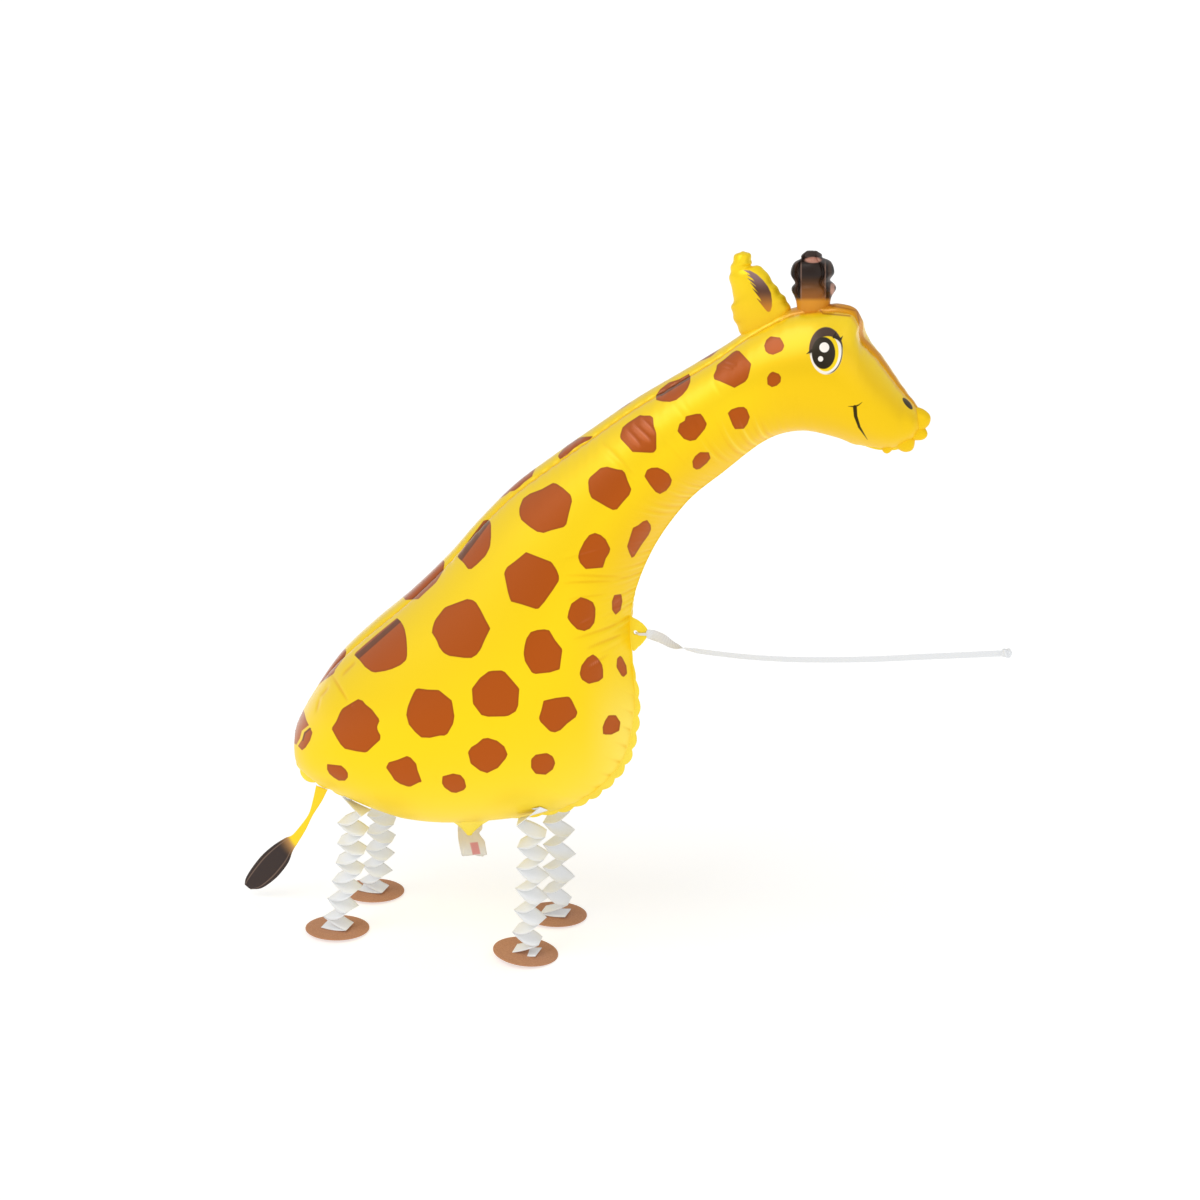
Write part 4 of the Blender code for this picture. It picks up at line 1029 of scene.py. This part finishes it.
EAR_PATCH = ((743, 270), (750, 270.5), (757, 274.5), (763, 280), (768, 286.5), (771, 293),
             (772, 300), (772, 306), (770.5, 311), (768, 312.5), (765, 309), (762, 303.5),
             (759.5, 297), (756.5, 289), (754, 281), (749, 273.5))
ear_places = print_place(ear).reshape(-1, 2)
ear_patch = patch_distance(ear_places, EAR_PATCH).reshape(ear.shape[:2])
grid_piece("ear", ear, ear_finish, ["balloon_body"], closed=True, capped=True,
           values={"spot": ear_patch})
print("ear", np.round(np.ptp(ear.reshape(-1, 3), axis=0) * 1000, 1), "mm")

# %% Horn
horn, horn_turn = pouch(HORN_ROWS, 1.0)
horn_share = np.linspace(0, 1, POUCH_ROWS)[:, None]
rim = np.abs(np.cos(horn_turn))[None, :]
PANEL_EDGE = 0.58
middle_bulge = 0.72 + 0.28 * np.sqrt(np.clip(1 - (rim / PANEL_EDGE) ** 2, 0, 1))
lobe_place = np.clip((rim - PANEL_EDGE) / (1 - PANEL_EDGE), 0, 1)
lobe_gather = 0.75 + 0.25 * np.abs(np.sin(np.pi * (horn_share - 0.34) / 0.33))
lobe_bulge = lobe_gather * np.sin(np.pi * np.clip(0.14 + 0.86 * lobe_place, 0, 1)) ** 0.7
profile = np.where(rim < PANEL_EDGE, middle_bulge, lobe_bulge)
plain = np.sin(np.arccos(rim))
blend_in = np.clip((horn_share - 0.30) / 0.08, 0, 1) * np.clip((1.0 - horn_share) / 0.08, 0, 1)
thick = np.abs(horn[..., 1]) / np.maximum(plain, 0.05)
horn[..., 1] = np.sign(horn[..., 1]) * thick * (plain * (1 - blend_in) + profile * blend_in)

horn_finish, start, shader = new_finish("horn_foil", 0.40, 0.1)
x, y = read_place(start)
colour = y.ramp(274.0, 303.0).choose(paint(36, 22, 15), paint(158, 96, 34))
from_middle = abs(x - 813.2)
lobe_colour = y.ramp(284.0, 303.0).choose(paint(26, 17, 13), paint(60, 38, 22))
colour = from_middle.ramp(11.8, 13.4).choose(colour, lobe_colour)
lobe_heart = from_middle.ramp(14.0, 16.0) * from_middle.ramp(19.5, 17.5) * y.ramp(256.0, 264.0)
colour = (lobe_heart * 0.5).choose(colour, paint(84, 58, 42))
panel_weld = from_middle.ramp(11.0, 12.0) * from_middle.ramp(13.2, 12.2) * y.ramp(258.0, 266.0)
colour = (panel_weld * 0.55).choose(colour, paint(150, 118, 104))
top_lobe = y.ramp(258.5, 256.5)
colour = top_lobe.choose(colour, paint(52, 36, 28))
# painted highlights on the top of the horn and on its lower right lobe
shine = cover(oval(x, y, 813.0, 260.0, 8.0, 2.9), 0.25)
colour = (shine * 0.85).choose(colour, paint(206, 150, 130))
side_shine = cover(oval(x, y, 832.3, 289.0, 2.4, 6.6), 0.3) * x.ramp(829.5, 831.0)
colour = (side_shine * 0.65).choose(colour, paint(226, 170, 146))
colour = y.ramp(297.0, 302.0).choose(colour, AMBER)
start.plug(shader.inputs["Base Color"], colour)
grid_piece("horn", horn, horn_finish, ["balloon_body"], closed=True, capped=True)
print("horn", np.round(np.ptp(horn.reshape(-1, 3), axis=0) * 1000, 1), "mm")

# %% [markdown]
# ## Muzzle lobes
# At the nose and chin the seam turns so tightly that the foil gathers into small round
# knobs. Each is a ball, flattened sideways and stretched away from the middle of the mouth,
# with nine shallow folds that run to its rim.

# %% Muzzle
MUZZLE_MIDDLE = (0.945, 0.702)
MUZZLE_LOBES = (
    ("nose_lobe", 0.980, 0.7075, 0.0205),
    ("lip_lobe", 0.984, 0.689, 0.0130),
    ("chin_lobe", 0.964, 0.676, 0.0175),
    ("jaw_lobe", 0.940, 0.665, 0.0095),
)
LOBE_STRETCH = 1.7
LOBE_FLATNESS = 0.85
LOBE_FOLD = 0.005
polar = np.linspace(0.02, np.pi - 0.02, 40)[:, None]
round_turn = ring(72)
for name, share_x, share_z, radius in MUZZLE_LOBES:
    way = np.array((share_x - MUZZLE_MIDDLE[0], share_z - MUZZLE_MIDDLE[1]))
    way = way / np.linalg.norm(way)
    size = radius * LENGTH
    centre = np.array(place(share_x, share_z)) - way * size * (LOBE_STRETCH - 1)
    swell = size * (1 + LOBE_FOLD * np.sin(9 * round_turn) * np.sin(polar) ** 4)
    outwards = LOBE_STRETCH * swell * np.sin(polar) * np.cos(round_turn)
    crosswise = swell * np.sin(polar) * np.sin(round_turn)
    ball = np.stack((centre[0] + way[0] * outwards - way[1] * crosswise,
                     LOBE_FLATNESS * swell * np.cos(polar),
                     centre[1] + way[1] * outwards + way[0] * crosswise), axis=-1)
    grid_piece(name, ball, plain_foil, ["balloon_body"], closed=True, capped=True,
               values={"spot": np.full(ball.shape[:2], FAR_FROM_SPOTS)})
    print(name, "radius", round(size * 1000, 1), "mm")

# %% [markdown]
# ## Leash tab
# The flange widens at the chest into a rounded tab with a punched eyelet for the ribbon. Its
# points lie on rays from the eyelet: from the hole's edge out to the rim, which gives a
# clean hole without cutting. The rim is a table of angle in degrees and reach.

# %% Tab
TAB_RIM = (
    (-180, 0.010), (-130, 0.012), (-108, 0.0165), (-95, 0.0188), (-88, 0.0165), (-80, 0.0142),
    (-60, 0.0122), (-43, 0.0112), (-20, 0.0114), (0, 0.0116), (15, 0.0117), (41, 0.0110),
    (67, 0.0115), (88, 0.0130), (99, 0.0142), (107, 0.0165), (125, 0.0130), (180, 0.010),
)
EYELET = np.array((0.0732, 0.318))
EYELET_RADIUS = 0.0020
TAB_THICKNESS = 0.0012
TAB_WAVE = 0.0004
TAB_LEVELS = 22

spokes = ring(180)
ray = np.stack((np.cos(spokes), np.sin(spokes)), axis=1)
spoke_degrees = np.degrees(np.arctan2(ray[:, 1], ray[:, 0]))
rim_reach = np.interp(spoke_degrees, *np.array(TAB_RIM).T)
levels = np.concatenate((np.linspace(0, 1, TAB_LEVELS), np.linspace(1, 0, TAB_LEVELS)))
faces = np.repeat((-1.0, 1.0), TAB_LEVELS)
reach = EYELET_RADIUS + (rim_reach[None, :] - EYELET_RADIUS) * levels[:, None]
tab_wave = TAB_WAVE * np.sin(3 * spokes)[None, :] * levels[:, None]
edge_round = np.sqrt(np.clip(1 - levels ** 6, 0.02, 1))
tab = np.stack((EYELET[0] + reach * ray[None, :, 0],
                (faces * edge_round)[:, None] * TAB_THICKNESS / 2 + tab_wave,
                EYELET[1] + reach * ray[None, :, 1]), axis=-1)
tab_out = np.zeros_like(tab)
tab_out[..., 1] = faces[:, None]
grid_piece("leash_tab", tab, seam_foil, ["balloon_body"], outward=tab_out,
           closed=True)
print("tab rim at", round(float(tab[..., 0].max()), 4))

# %% [markdown]
# ## Filling valve
# A flat sleeve of clear film hangs from the belly seam, where the balloon is filled. Its two
# layers lie together, with a notch in the front edge and a torn lower end. The table gives
# the sleeve's height, rear edge and front edge from the top down.

# %% Valve
VALVE_MIDDLE_X = -0.0911
VALVE_TOP_Z = 0.1160
VALVE_EDGES = (
    (0.1160, -0.1053, -0.0797), (0.1052, -0.1053, -0.0797), (0.0992, -0.1053, -0.0827),
    (0.0923, -0.1051, -0.0779), (0.0852, -0.1040, -0.0766), (0.0762, -0.1018, -0.0752),
)

valve_down = np.linspace(0, 1, 60)[:, None]
valve_turn = ring(80)
valve_rows = curve_through(VALVE_EDGES, valve_down[:, 0] * (len(VALVE_EDGES) - 1))
valve_z, valve_rear, valve_front = valve_rows.T[:, :, None]
across = np.cos(valve_turn)
valve_reach = (valve_front - valve_rear) / 2 * across
valve_puff = 0.0011 * np.sin(valve_turn) * (1 - 0.3 * valve_down)
valve_puff = valve_puff + 0.0006 * np.sin(valve_reach / 0.003 + 2 * valve_down)
ragged = 0.0014 * across + 0.0011 * np.cos(4.6 * across + 0.6) + 0.0004 * np.sin(17 * across)
valve = np.stack(((valve_rear + valve_front) / 2 + valve_reach, valve_puff,
                  valve_z + ragged * valve_down ** 4), axis=-1)
film_finish, start, shader = new_finish("valve_film", 0.35, 0.0, 0.3)
x, y = read_place(start)
MARK_X, MARK_Y = 475.2, 848.4
mark_x = x - MARK_X - (y - MARK_Y) * 0.24
mark = cover((abs(mark_x) / 4.0).most(abs(y - MARK_Y + mark_x * 0.10) / 6.0), 0.12)
colour = y.ramp(838.0, 853.0).choose(paint(236, 222, 190), paint(240, 236, 226))
colour = (mark * 0.8).choose(colour, paint(226, 118, 118))
start.plug(shader.inputs["Base Color"], colour)
shader.inputs["Transmission Weight"].default_value = 0.25
grid_piece("valve_sleeve", valve, film_finish, ["valve_neck"], closed=True,
           capped=True)
print("valve", np.round(np.ptp(valve.reshape(-1, 3), axis=0) * 1000, 1), "mm")

# %% Filling neck
NECK_TOP_HALF = 0.0300
NECK_DEPTH = 0.0240
neck_down = np.linspace(0, 1, 40)[:, None]
neck_turn = ring(72)
neck_half = NECK_TOP_HALF * (1 - neck_down) ** 1.3 + 0.0025
neck_middle = VALVE_MIDDLE_X - 0.0050 + 0.0030 * neck_down
neck_side = (0.0150 * (1 - neck_down) ** 1.5 + 0.0019) * np.sin(neck_turn)
neck = np.stack((neck_middle + neck_half * np.cos(neck_turn),
                 neck_side + 0.0004 * np.sin(neck_half * np.cos(neck_turn) / 0.002),
                 VALVE_TOP_Z + 0.0045 - NECK_DEPTH * neck_down + 0 * neck_turn), axis=-1)
grid_piece("filling_neck", neck, seam_foil, ["balloon_body"], closed=True,
           capped=True)
print("filling neck", round(NECK_DEPTH * 1000, 1), "mm deep")

# %% [markdown]
# ## Tail
# The tail is two flat films welded edge to edge: a plain yellow strip, twisted once, and a
# long leaf-shaped tuft. A paler weld line runs a few millimetres inside the tuft's edge.

# %% Tail
TAIL_ROWS = (
    (0.033, 0.043, 0.053, 0.038, 0.0),
    (0.026, 0.016, 0.041, 0.015, 0.0),
    (0.018, -0.008, 0.025, -0.010, 0.0),
    (0.003, -0.030, 0.012, -0.036, 0.0),
    (-0.013, -0.049, -0.003, -0.061, 0.0),
    (-0.026, -0.056, -0.013, -0.077, 0.6),
    (-0.048, -0.072, -0.021, -0.097, 1.0),
    (-0.069, -0.092, -0.033, -0.115, 1.0),
    (-0.087, -0.115, -0.049, -0.133, 0.9),
    (-0.100, -0.136, -0.072, -0.151, 0.6),
    (-0.103, -0.148, -0.092, -0.156, 0.2),
)
tail_rows = even_rows(TAIL_ROWS, ((0, 1), (2, 3)), 220)
upper, lower = edge_line(tail_rows, 0), edge_line(tail_rows, 2)
tuft_share = np.clip(tail_rows[:, 4], 0, 1)[:, None]
tail_turn = ring(64)
tail_half = (lower - upper) / 2
tail_plane = ((upper + lower) / 2)[:, None] + tail_half[:, None] * np.cos(tail_turn)[:, None]
groove = np.exp(-((np.abs(np.cos(tail_turn)) - 0.72) / 0.06) ** 2)
tail_puff = (0.0005 + 0.0014 * tuft_share) * np.sin(tail_turn) * (1 - 0.45 * groove * tuft_share)
tail = np.stack((tail_plane[..., 0], tail_puff, tail_plane[..., 1]), axis=-1)
tail_inset = np.abs(np.cos(tail_turn)) + 0 * tuft_share
tail_finish, start, shader = new_finish("tail_foil", 0.38, 0.15, 0.1)
x, y = read_place(start)
inset = read_number(start, "inset")
tuft = read_number(start, "tuft")
colour = tuft.ramp(0.05, 0.5).choose(YELLOW, paint(190, 140, 80))
colour = tuft.ramp(0.35, 0.95).choose(colour, paint(52, 38, 34))
line = inset.ramp(0.64, 0.71) * inset.ramp(0.80, 0.73)
colour = (line * tuft.ramp(0.1, 0.5) * 0.35).choose(colour, paint(170, 140, 120))
start.plug(shader.inputs["Base Color"], colour)
tail_tuft = np.maximum.accumulate(tuft_share, axis=0) + 0 * tail_turn
grid_piece("tail_film", tail, tail_finish, ["tail"], closed=True, capped=True,
           values={"inset": tail_inset, "tuft": tail_tuft})
print("tail", np.round(np.ptp(tail.reshape(-1, 3), axis=0) * 1000, 1), "mm")

# %% [markdown]
# ## Paper legs
# A leg is one paper strip folded back and forth, with the end of its top panel taped to the
# belly. The weight of the card foot pulls it open and it turns a little one way and back.
# Each fold line is a pair of edge points, alternately behind and before the leg's middle. The
# panels between them sag and lean a little, so that each looks like a leaf from the side. The
# top is found by looking up from the floor. The table has each leg's top, in the photograph's
# measure along the figure, the way its top panel points and its number of panels.

# %% Legs
STRIP_WIDTH = 0.020
STRIP_REACH = 0.026
STRIP_THICKNESS = 0.0005
LEG_TWIST = math.radians(14.0)
LEG_BOW = 0.0045
PANEL_SAG = 0.0012
PANEL_LEAN = math.radians(24.0)
FAR_EDGE_LEAN = 0.8
PANEL_STEPS = 9
LAST_FOLD_HEIGHT = 0.0034
FOOT_RADIUS = 0.031
FOOT_THICKNESS = 0.0012
LEGS = (
    ("front_right", 0.1000, -0.036, 1.0, 13),
    ("front_left", 0.1000, 0.036, 1.0, 11),
    ("hind_right", -0.080, -0.033, -1.0, 13),
    ("hind_left", -0.080, 0.033, -1.0, 13),
)
TAPED_SHARE = 0.3
FIGURE_SHIFT = -0.11814

depsgraph = bpy.context.evaluated_depsgraph_get()
panel_trees = [BVHTree.FromObject(item, depsgraph) for item in side_panels]


def underside(x, y):
    """Point and normal of the balloon's underside above a floor point."""
    tree = panel_trees[0] if y < 0 else panel_trees[1]
    hit, normal, _, _ = tree.ray_cast(Vector((x, y, -0.5)), Vector((0.0, 0.0, 1.0)))
    return np.array(hit), np.array(normal)


paper_finish, start, shader = new_finish("white_paper", 0.82)
fleck = start.node("ShaderNodeTexCoord", {}, 3)
grain = start.node("ShaderNodeTexNoise", {"Vector": fleck, "Scale": 900.0, "Detail": 3.0})
colour = grain.choose(paint(222, 224, 226), paint(232, 234, 236))
start.plug(shader.inputs["Base Color"], colour)
# painted light: the paper glows faintly, which lifts its shade under the belly
shader.inputs["Emission Color"].default_value = (1.0, 0.96, 0.88, 1.0)
shader.inputs["Emission Strength"].default_value = 0.09

for name, top_x, top_y, heading, panels in LEGS:
    foot_low, foot_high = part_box(f"foot_{name}")
    foot = np.array(((foot_low[0] + foot_high[0]) / 2, (foot_low[1] + foot_high[1]) / 2,
                     FOOT_THICKNESS + STRIP_THICKNESS + LAST_FOLD_HEIGHT))
    hit, normal = underside(top_x + FIGURE_SHIFT, top_y)
    top = hit + normal * STRIP_THICKNESS
    slope = np.array((1.0, 0.0, 0.0)) - normal * normal[0]
    slope = slope / np.linalg.norm(slope) * STRIP_REACH / 2 * heading
    across = np.array((0.0, STRIP_WIDTH / 2, 0.0))
    lie = across - normal * (across @ normal)
    k = np.arange(1, panels)
    share_down = (k / panels)[:, None]
    turn = LEG_TWIST * np.sin(2 * np.pi * share_down[:, 0] + heading)
    side = -heading * (-1.0) ** (k - 1)
    centre = top + (foot - top) * share_down
    centre[:, 0] += LEG_BOW * np.sin(np.pi * share_down[:, 0])
    level = np.zeros(len(k))
    fold_way = np.stack((np.cos(turn), np.sin(turn), level), axis=1)
    fold_middle = centre + fold_way * (side * STRIP_REACH / 2)[:, None]
    fold_edge = np.stack((-np.sin(turn), np.cos(turn), level), axis=1) * STRIP_WIDTH / 2
    last_reach = np.array((-side[-1] * STRIP_REACH / 2, 0.0, 0.0))
    taped = [(middle - lie, middle + lie)
             for middle in (top + slope * (1 - 2 * TAPED_SHARE), top + slope)]
    ends = [(middle - across, middle + across) for middle in (foot + last_reach, foot - last_reach)]
    rows = np.vstack((taped, np.stack((fold_middle - fold_edge, fold_middle + fold_edge), axis=1),
                      ends))
    strip_t = np.linspace(0, 1, PANEL_STEPS)
    bend = np.sin(np.pi * strip_t)
    strips = []
    for number, (a, b) in enumerate(zip(rows[:-1], rows[1:])):
        hangs_free = 1 < number < len(rows) - 3
        lean = PANEL_LEAN * bend * hangs_free
        line = a * (1 - strip_t)[:, None, None] + b * strip_t[:, None, None]
        line[..., 2] -= PANEL_SAG * bend[:, None] * (1.0 if number > 1 else 0.3)
        line[..., 2] += STRIP_WIDTH / 2 * np.sin(lean)[:, None] * (-1.0, FAR_EDGE_LEAN)
        strips.append(line[:-1])
    edges = np.concatenate((*strips, rows[-1:]))
    width_t = np.linspace(0, 1, 7)[None, :, None]
    leg_grid = edges[:, None, 0] * (1 - width_t) + edges[:, None, 1] * width_t
    leg = grid_piece(f"paper_leg_{name}", leg_grid, paper_finish, [f"leg_{name}"],
                     outward=(0.0, 0.0, -1.0))
    leg.data.set_sharp_from_angle(angle=math.radians(25))
    paper = leg.modifiers.new("paper", "SOLIDIFY")
    paper.thickness = STRIP_THICKNESS
    paper.offset = 0.0
    print(f"leg {name}: {panels} panels over {round((top[2] - foot[2]) * 1000)} mm")

# %% [markdown]
# ## Card feet
# Round discs of brown card weigh the legs down. A disc is a grid of rings: the bottom face
# from the middle out, a rounded edge, and the top face back to the middle. The paper pulls
# each disc a little off level, so it rises as - lean y - lean x and stands on its rim.

# %% Feet
card_finish, start, shader = new_finish("brown_card", 0.78)
fleck = start.node("ShaderNodeTexCoord", {}, 3)
grain = start.node("ShaderNodeTexNoise", {"Vector": fleck, "Scale": 700.0, "Detail": 4.0})
colour = grain.ramp(0.3, 0.7).choose(paint(180, 128, 96), paint(194, 144, 111))
start.plug(shader.inputs["Base Color"], colour)

disc_radius = np.array((0.0, 0.5, 0.9, 0.985, 1.0, 1.0, 0.985, 0.9, 0.5, 0.0)) * FOOT_RADIUS
disc_height = np.array((0, 0, 0, 0, 0.25, 0.75, 1, 1, 1, 1)) * FOOT_THICKNESS
disc_turn = ring(128)
FOOT_LEAN = {
    "front_right": (0.030, 0.105), "front_left": (0.040, 0.020),
    "hind_right": (0.050, 0.015), "hind_left": (0.045, 0.020),
}
for name, *_ in LEGS:
    foot_low, foot_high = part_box(f"foot_{name}")
    disc = np.stack(((foot_low[0] + foot_high[0]) / 2 + disc_radius[:, None] * np.cos(disc_turn),
                     (foot_low[1] + foot_high[1]) / 2 + disc_radius[:, None] * np.sin(disc_turn),
                     disc_height[:, None] + 0 * disc_turn), axis=-1)
    lean_y, lean_x = FOOT_LEAN[name]
    rise_here = (-lean_y * disc_radius[:, None] * np.sin(disc_turn)
                 - lean_x * disc_radius[:, None] * np.cos(disc_turn))
    disc[..., 2] += rise_here + FOOT_RADIUS * math.hypot(lean_x, lean_y)
    card = grid_piece(f"card_foot_{name}", disc, card_finish, [f"foot_{name}"],
                      outward=disc - disc.mean(axis=(0, 1)), closed=True)
    card.data.set_sharp_from_angle(angle=math.radians(40))
    print(f"foot {name} leans {round(math.degrees(math.hypot(lean_x, lean_y)), 1)} degrees")

# %% [markdown]
# ## Ribbon
# The leading ribbon is flat and soft. It goes through the eyelet, lies over the tab, turns
# once on itself and runs off to the hand that holds it, where it ends in a knot. It is a
# closed strip about a line: the line gives the middle, and two tables by the length from the
# eyelet tell the twist angle in degrees and the share of the full width. It is gathered to a
# strand where it is threaded.

# %% Ribbon
RIBBON_ROUTE = (
    (0.2045, 0.3178), (0.216, 0.3145), (0.235, 0.3070), (0.284, 0.3045), (0.329, 0.3055),
    (0.372, 0.3090), (0.415, 0.3140), (0.456, 0.3200), (0.498, 0.3260), (0.532, 0.3310),
)
RIBBON_WIDTH = 0.0095
RIBBON_THICKNESS = 0.0005

RIM_X = 0.0848
OVER_TAB = 0.0016
TWIST = (
    (0.0, 90), (0.0125, 92), (0.022, 122), (0.032, 146), (0.042, 170), (0.050, 214),
    (0.060, 228), (0.36, 232),
)
FULL_WIDTH = ((0.0, 0.24), (0.0106, 0.28), (0.0118, 1.0), (0.36, 1.0))
fine = np.linspace(0, len(RIBBON_ROUTE) - 1, 400)
route = curve_through(RIBBON_ROUTE, fine) + (FIGURE_SHIFT, 0.0)
route = np.vstack((EYELET, EYELET + (0.004, -0.001), route))
route_run = run_length(route)
even = np.linspace(0, route_run[-1], 420)
line_x = np.interp(even, route_run, route[:, 0])
line_z = np.interp(even, route_run, route[:, 1])
past_rim = np.clip((RIM_X + 0.004 - line_x) / 0.004, 0, 1)
over_tab = past_rim * np.clip((line_x - EYELET[0]) / 0.003, 0, 1)
ribbon_line = np.stack((line_x, -OVER_TAB * over_tab, line_z), axis=-1)
tangent = np.gradient(ribbon_line, axis=0)
tangent /= np.linalg.norm(tangent, axis=1)[:, None]
side_axis = np.array((0.0, -1.0, 0.0))
stand = np.cross(side_axis, tangent)
twist = np.radians(np.interp(even, *np.array(TWIST).T))[:, None]
flat_way = stand * np.sin(twist) + side_axis * np.cos(twist)
thin_way = np.cross(flat_way, tangent)
half_flat = RIBBON_WIDTH / 2 * np.interp(even, *np.array(FULL_WIDTH).T)[:, None]
strip_turn = ring(24)[:, None]
ribbon = (ribbon_line[:, None] + (flat_way * half_flat)[:, None] * np.cos(strip_turn)
          + thin_way[:, None] * RIBBON_THICKNESS / 2 * np.sin(strip_turn))
satin_finish, start, shader = new_finish("white_ribbon", 0.45, 0.0, 0.1)
object_place = start.node("ShaderNodeTexCoord", {}, 3)
weave = start.math("SINE", (object_place.part(0) + object_place.part(2) * 0.5) * 5200.0)
colour = weave.ramp(-1.0, 1.0).choose(paint(220, 222, 225), paint(237, 239, 241))
start.plug(shader.inputs["Base Color"], colour)
ribbon_piece = grid_piece("leading_ribbon", ribbon, satin_finish, ["ribbon"],
                          closed=True, capped=True)

# %% Knot
KNOT_RADIUS = 0.0042
KNOT_LUMP = 0.16
knot_polar = np.linspace(0.02, np.pi - 0.02, 48)[:, None]
knot_turn = ring(96)
knot_lump = KNOT_LUMP * np.sin(2 * knot_turn + 5 * knot_polar) * np.sin(knot_polar) ** 2
knot_swell = KNOT_RADIUS * (1 + knot_lump)
knot = ribbon_line[-4] + np.stack((1.15 * knot_swell * np.cos(knot_polar),
                                   knot_swell * np.sin(knot_polar) * np.cos(knot_turn),
                                   knot_swell * np.sin(knot_polar) * np.sin(knot_turn)), axis=-1)
knot_piece = grid_piece("ribbon_knot", knot, satin_finish, ["ribbon"],
                        closed=True, capped=True)
print("knot", round(2 * KNOT_RADIUS * 1000, 1), "mm across")

# %% [markdown]
# ## Floor and light
# A white sweep and big soft lights, as in a catalogue picture. The sky is even and white, and
# a wide sun above and to the left gives the pale band along the back. The floor glows a
# little, so that it is as white as the paper of the page and still takes a faint shadow.

# %% Floor and light
FLOOR_HALF = 60.0
FLOOR_GREY = 0.58
FLOOR_GLOW = 0.56
SKY_STRENGTH = 0.61
SUNS = (("key", (-0.50, -0.60, 0.90), 45.0, 0.90), ("fill", (0.75, -0.85, 0.45), 60.0, 0.40))
floor_mesh = bpy.data.meshes.new("floor")
corners = [(-FLOOR_HALF, -FLOOR_HALF, 0), (FLOOR_HALF, -FLOOR_HALF, 0),
           (FLOOR_HALF, FLOOR_HALF, 0), (-FLOOR_HALF, FLOOR_HALF, 0)]
floor_mesh.from_pydata(corners, [], [(0, 1, 2, 3)])
floor_finish, start, shader = new_finish("floor_white", 0.9)
shader.inputs["Base Color"].default_value = (FLOOR_GREY, FLOOR_GREY, FLOOR_GREY, 1.0)
shader.inputs["Emission Color"].default_value = (1.0, 1.0, 1.0, 1.0)
shader.inputs["Emission Strength"].default_value = FLOOR_GLOW
floor_mesh.materials.append(floor_finish)
floor = bpy.data.objects.new("floor", floor_mesh)
bpy.context.scene.collection.objects.link(floor)

world = bpy.data.worlds.new("studio")
world.use_nodes = True
world.node_tree.nodes["Background"].inputs["Color"].default_value = (1.0, 1.0, 1.0, 1.0)
world.node_tree.nodes["Background"].inputs["Strength"].default_value = SKY_STRENGTH
bpy.context.scene.world = world
bpy.context.scene.view_settings.view_transform = "Standard"


def soft_sun(name, from_direction, spread, strength):
    """Even light from a wide patch of sky in one direction."""
    lamp = bpy.data.lights.new(name, "SUN")
    lamp.angle = math.radians(spread)
    lamp.energy = strength
    holder = bpy.data.objects.new(name, lamp)
    bpy.context.scene.collection.objects.link(holder)
    holder.rotation_euler = Vector(from_direction).to_track_quat("Z", "Y").to_euler()
    print("sun", name, "spread", spread, "degrees")


for sun in SUNS:
    soft_sun(*sun)
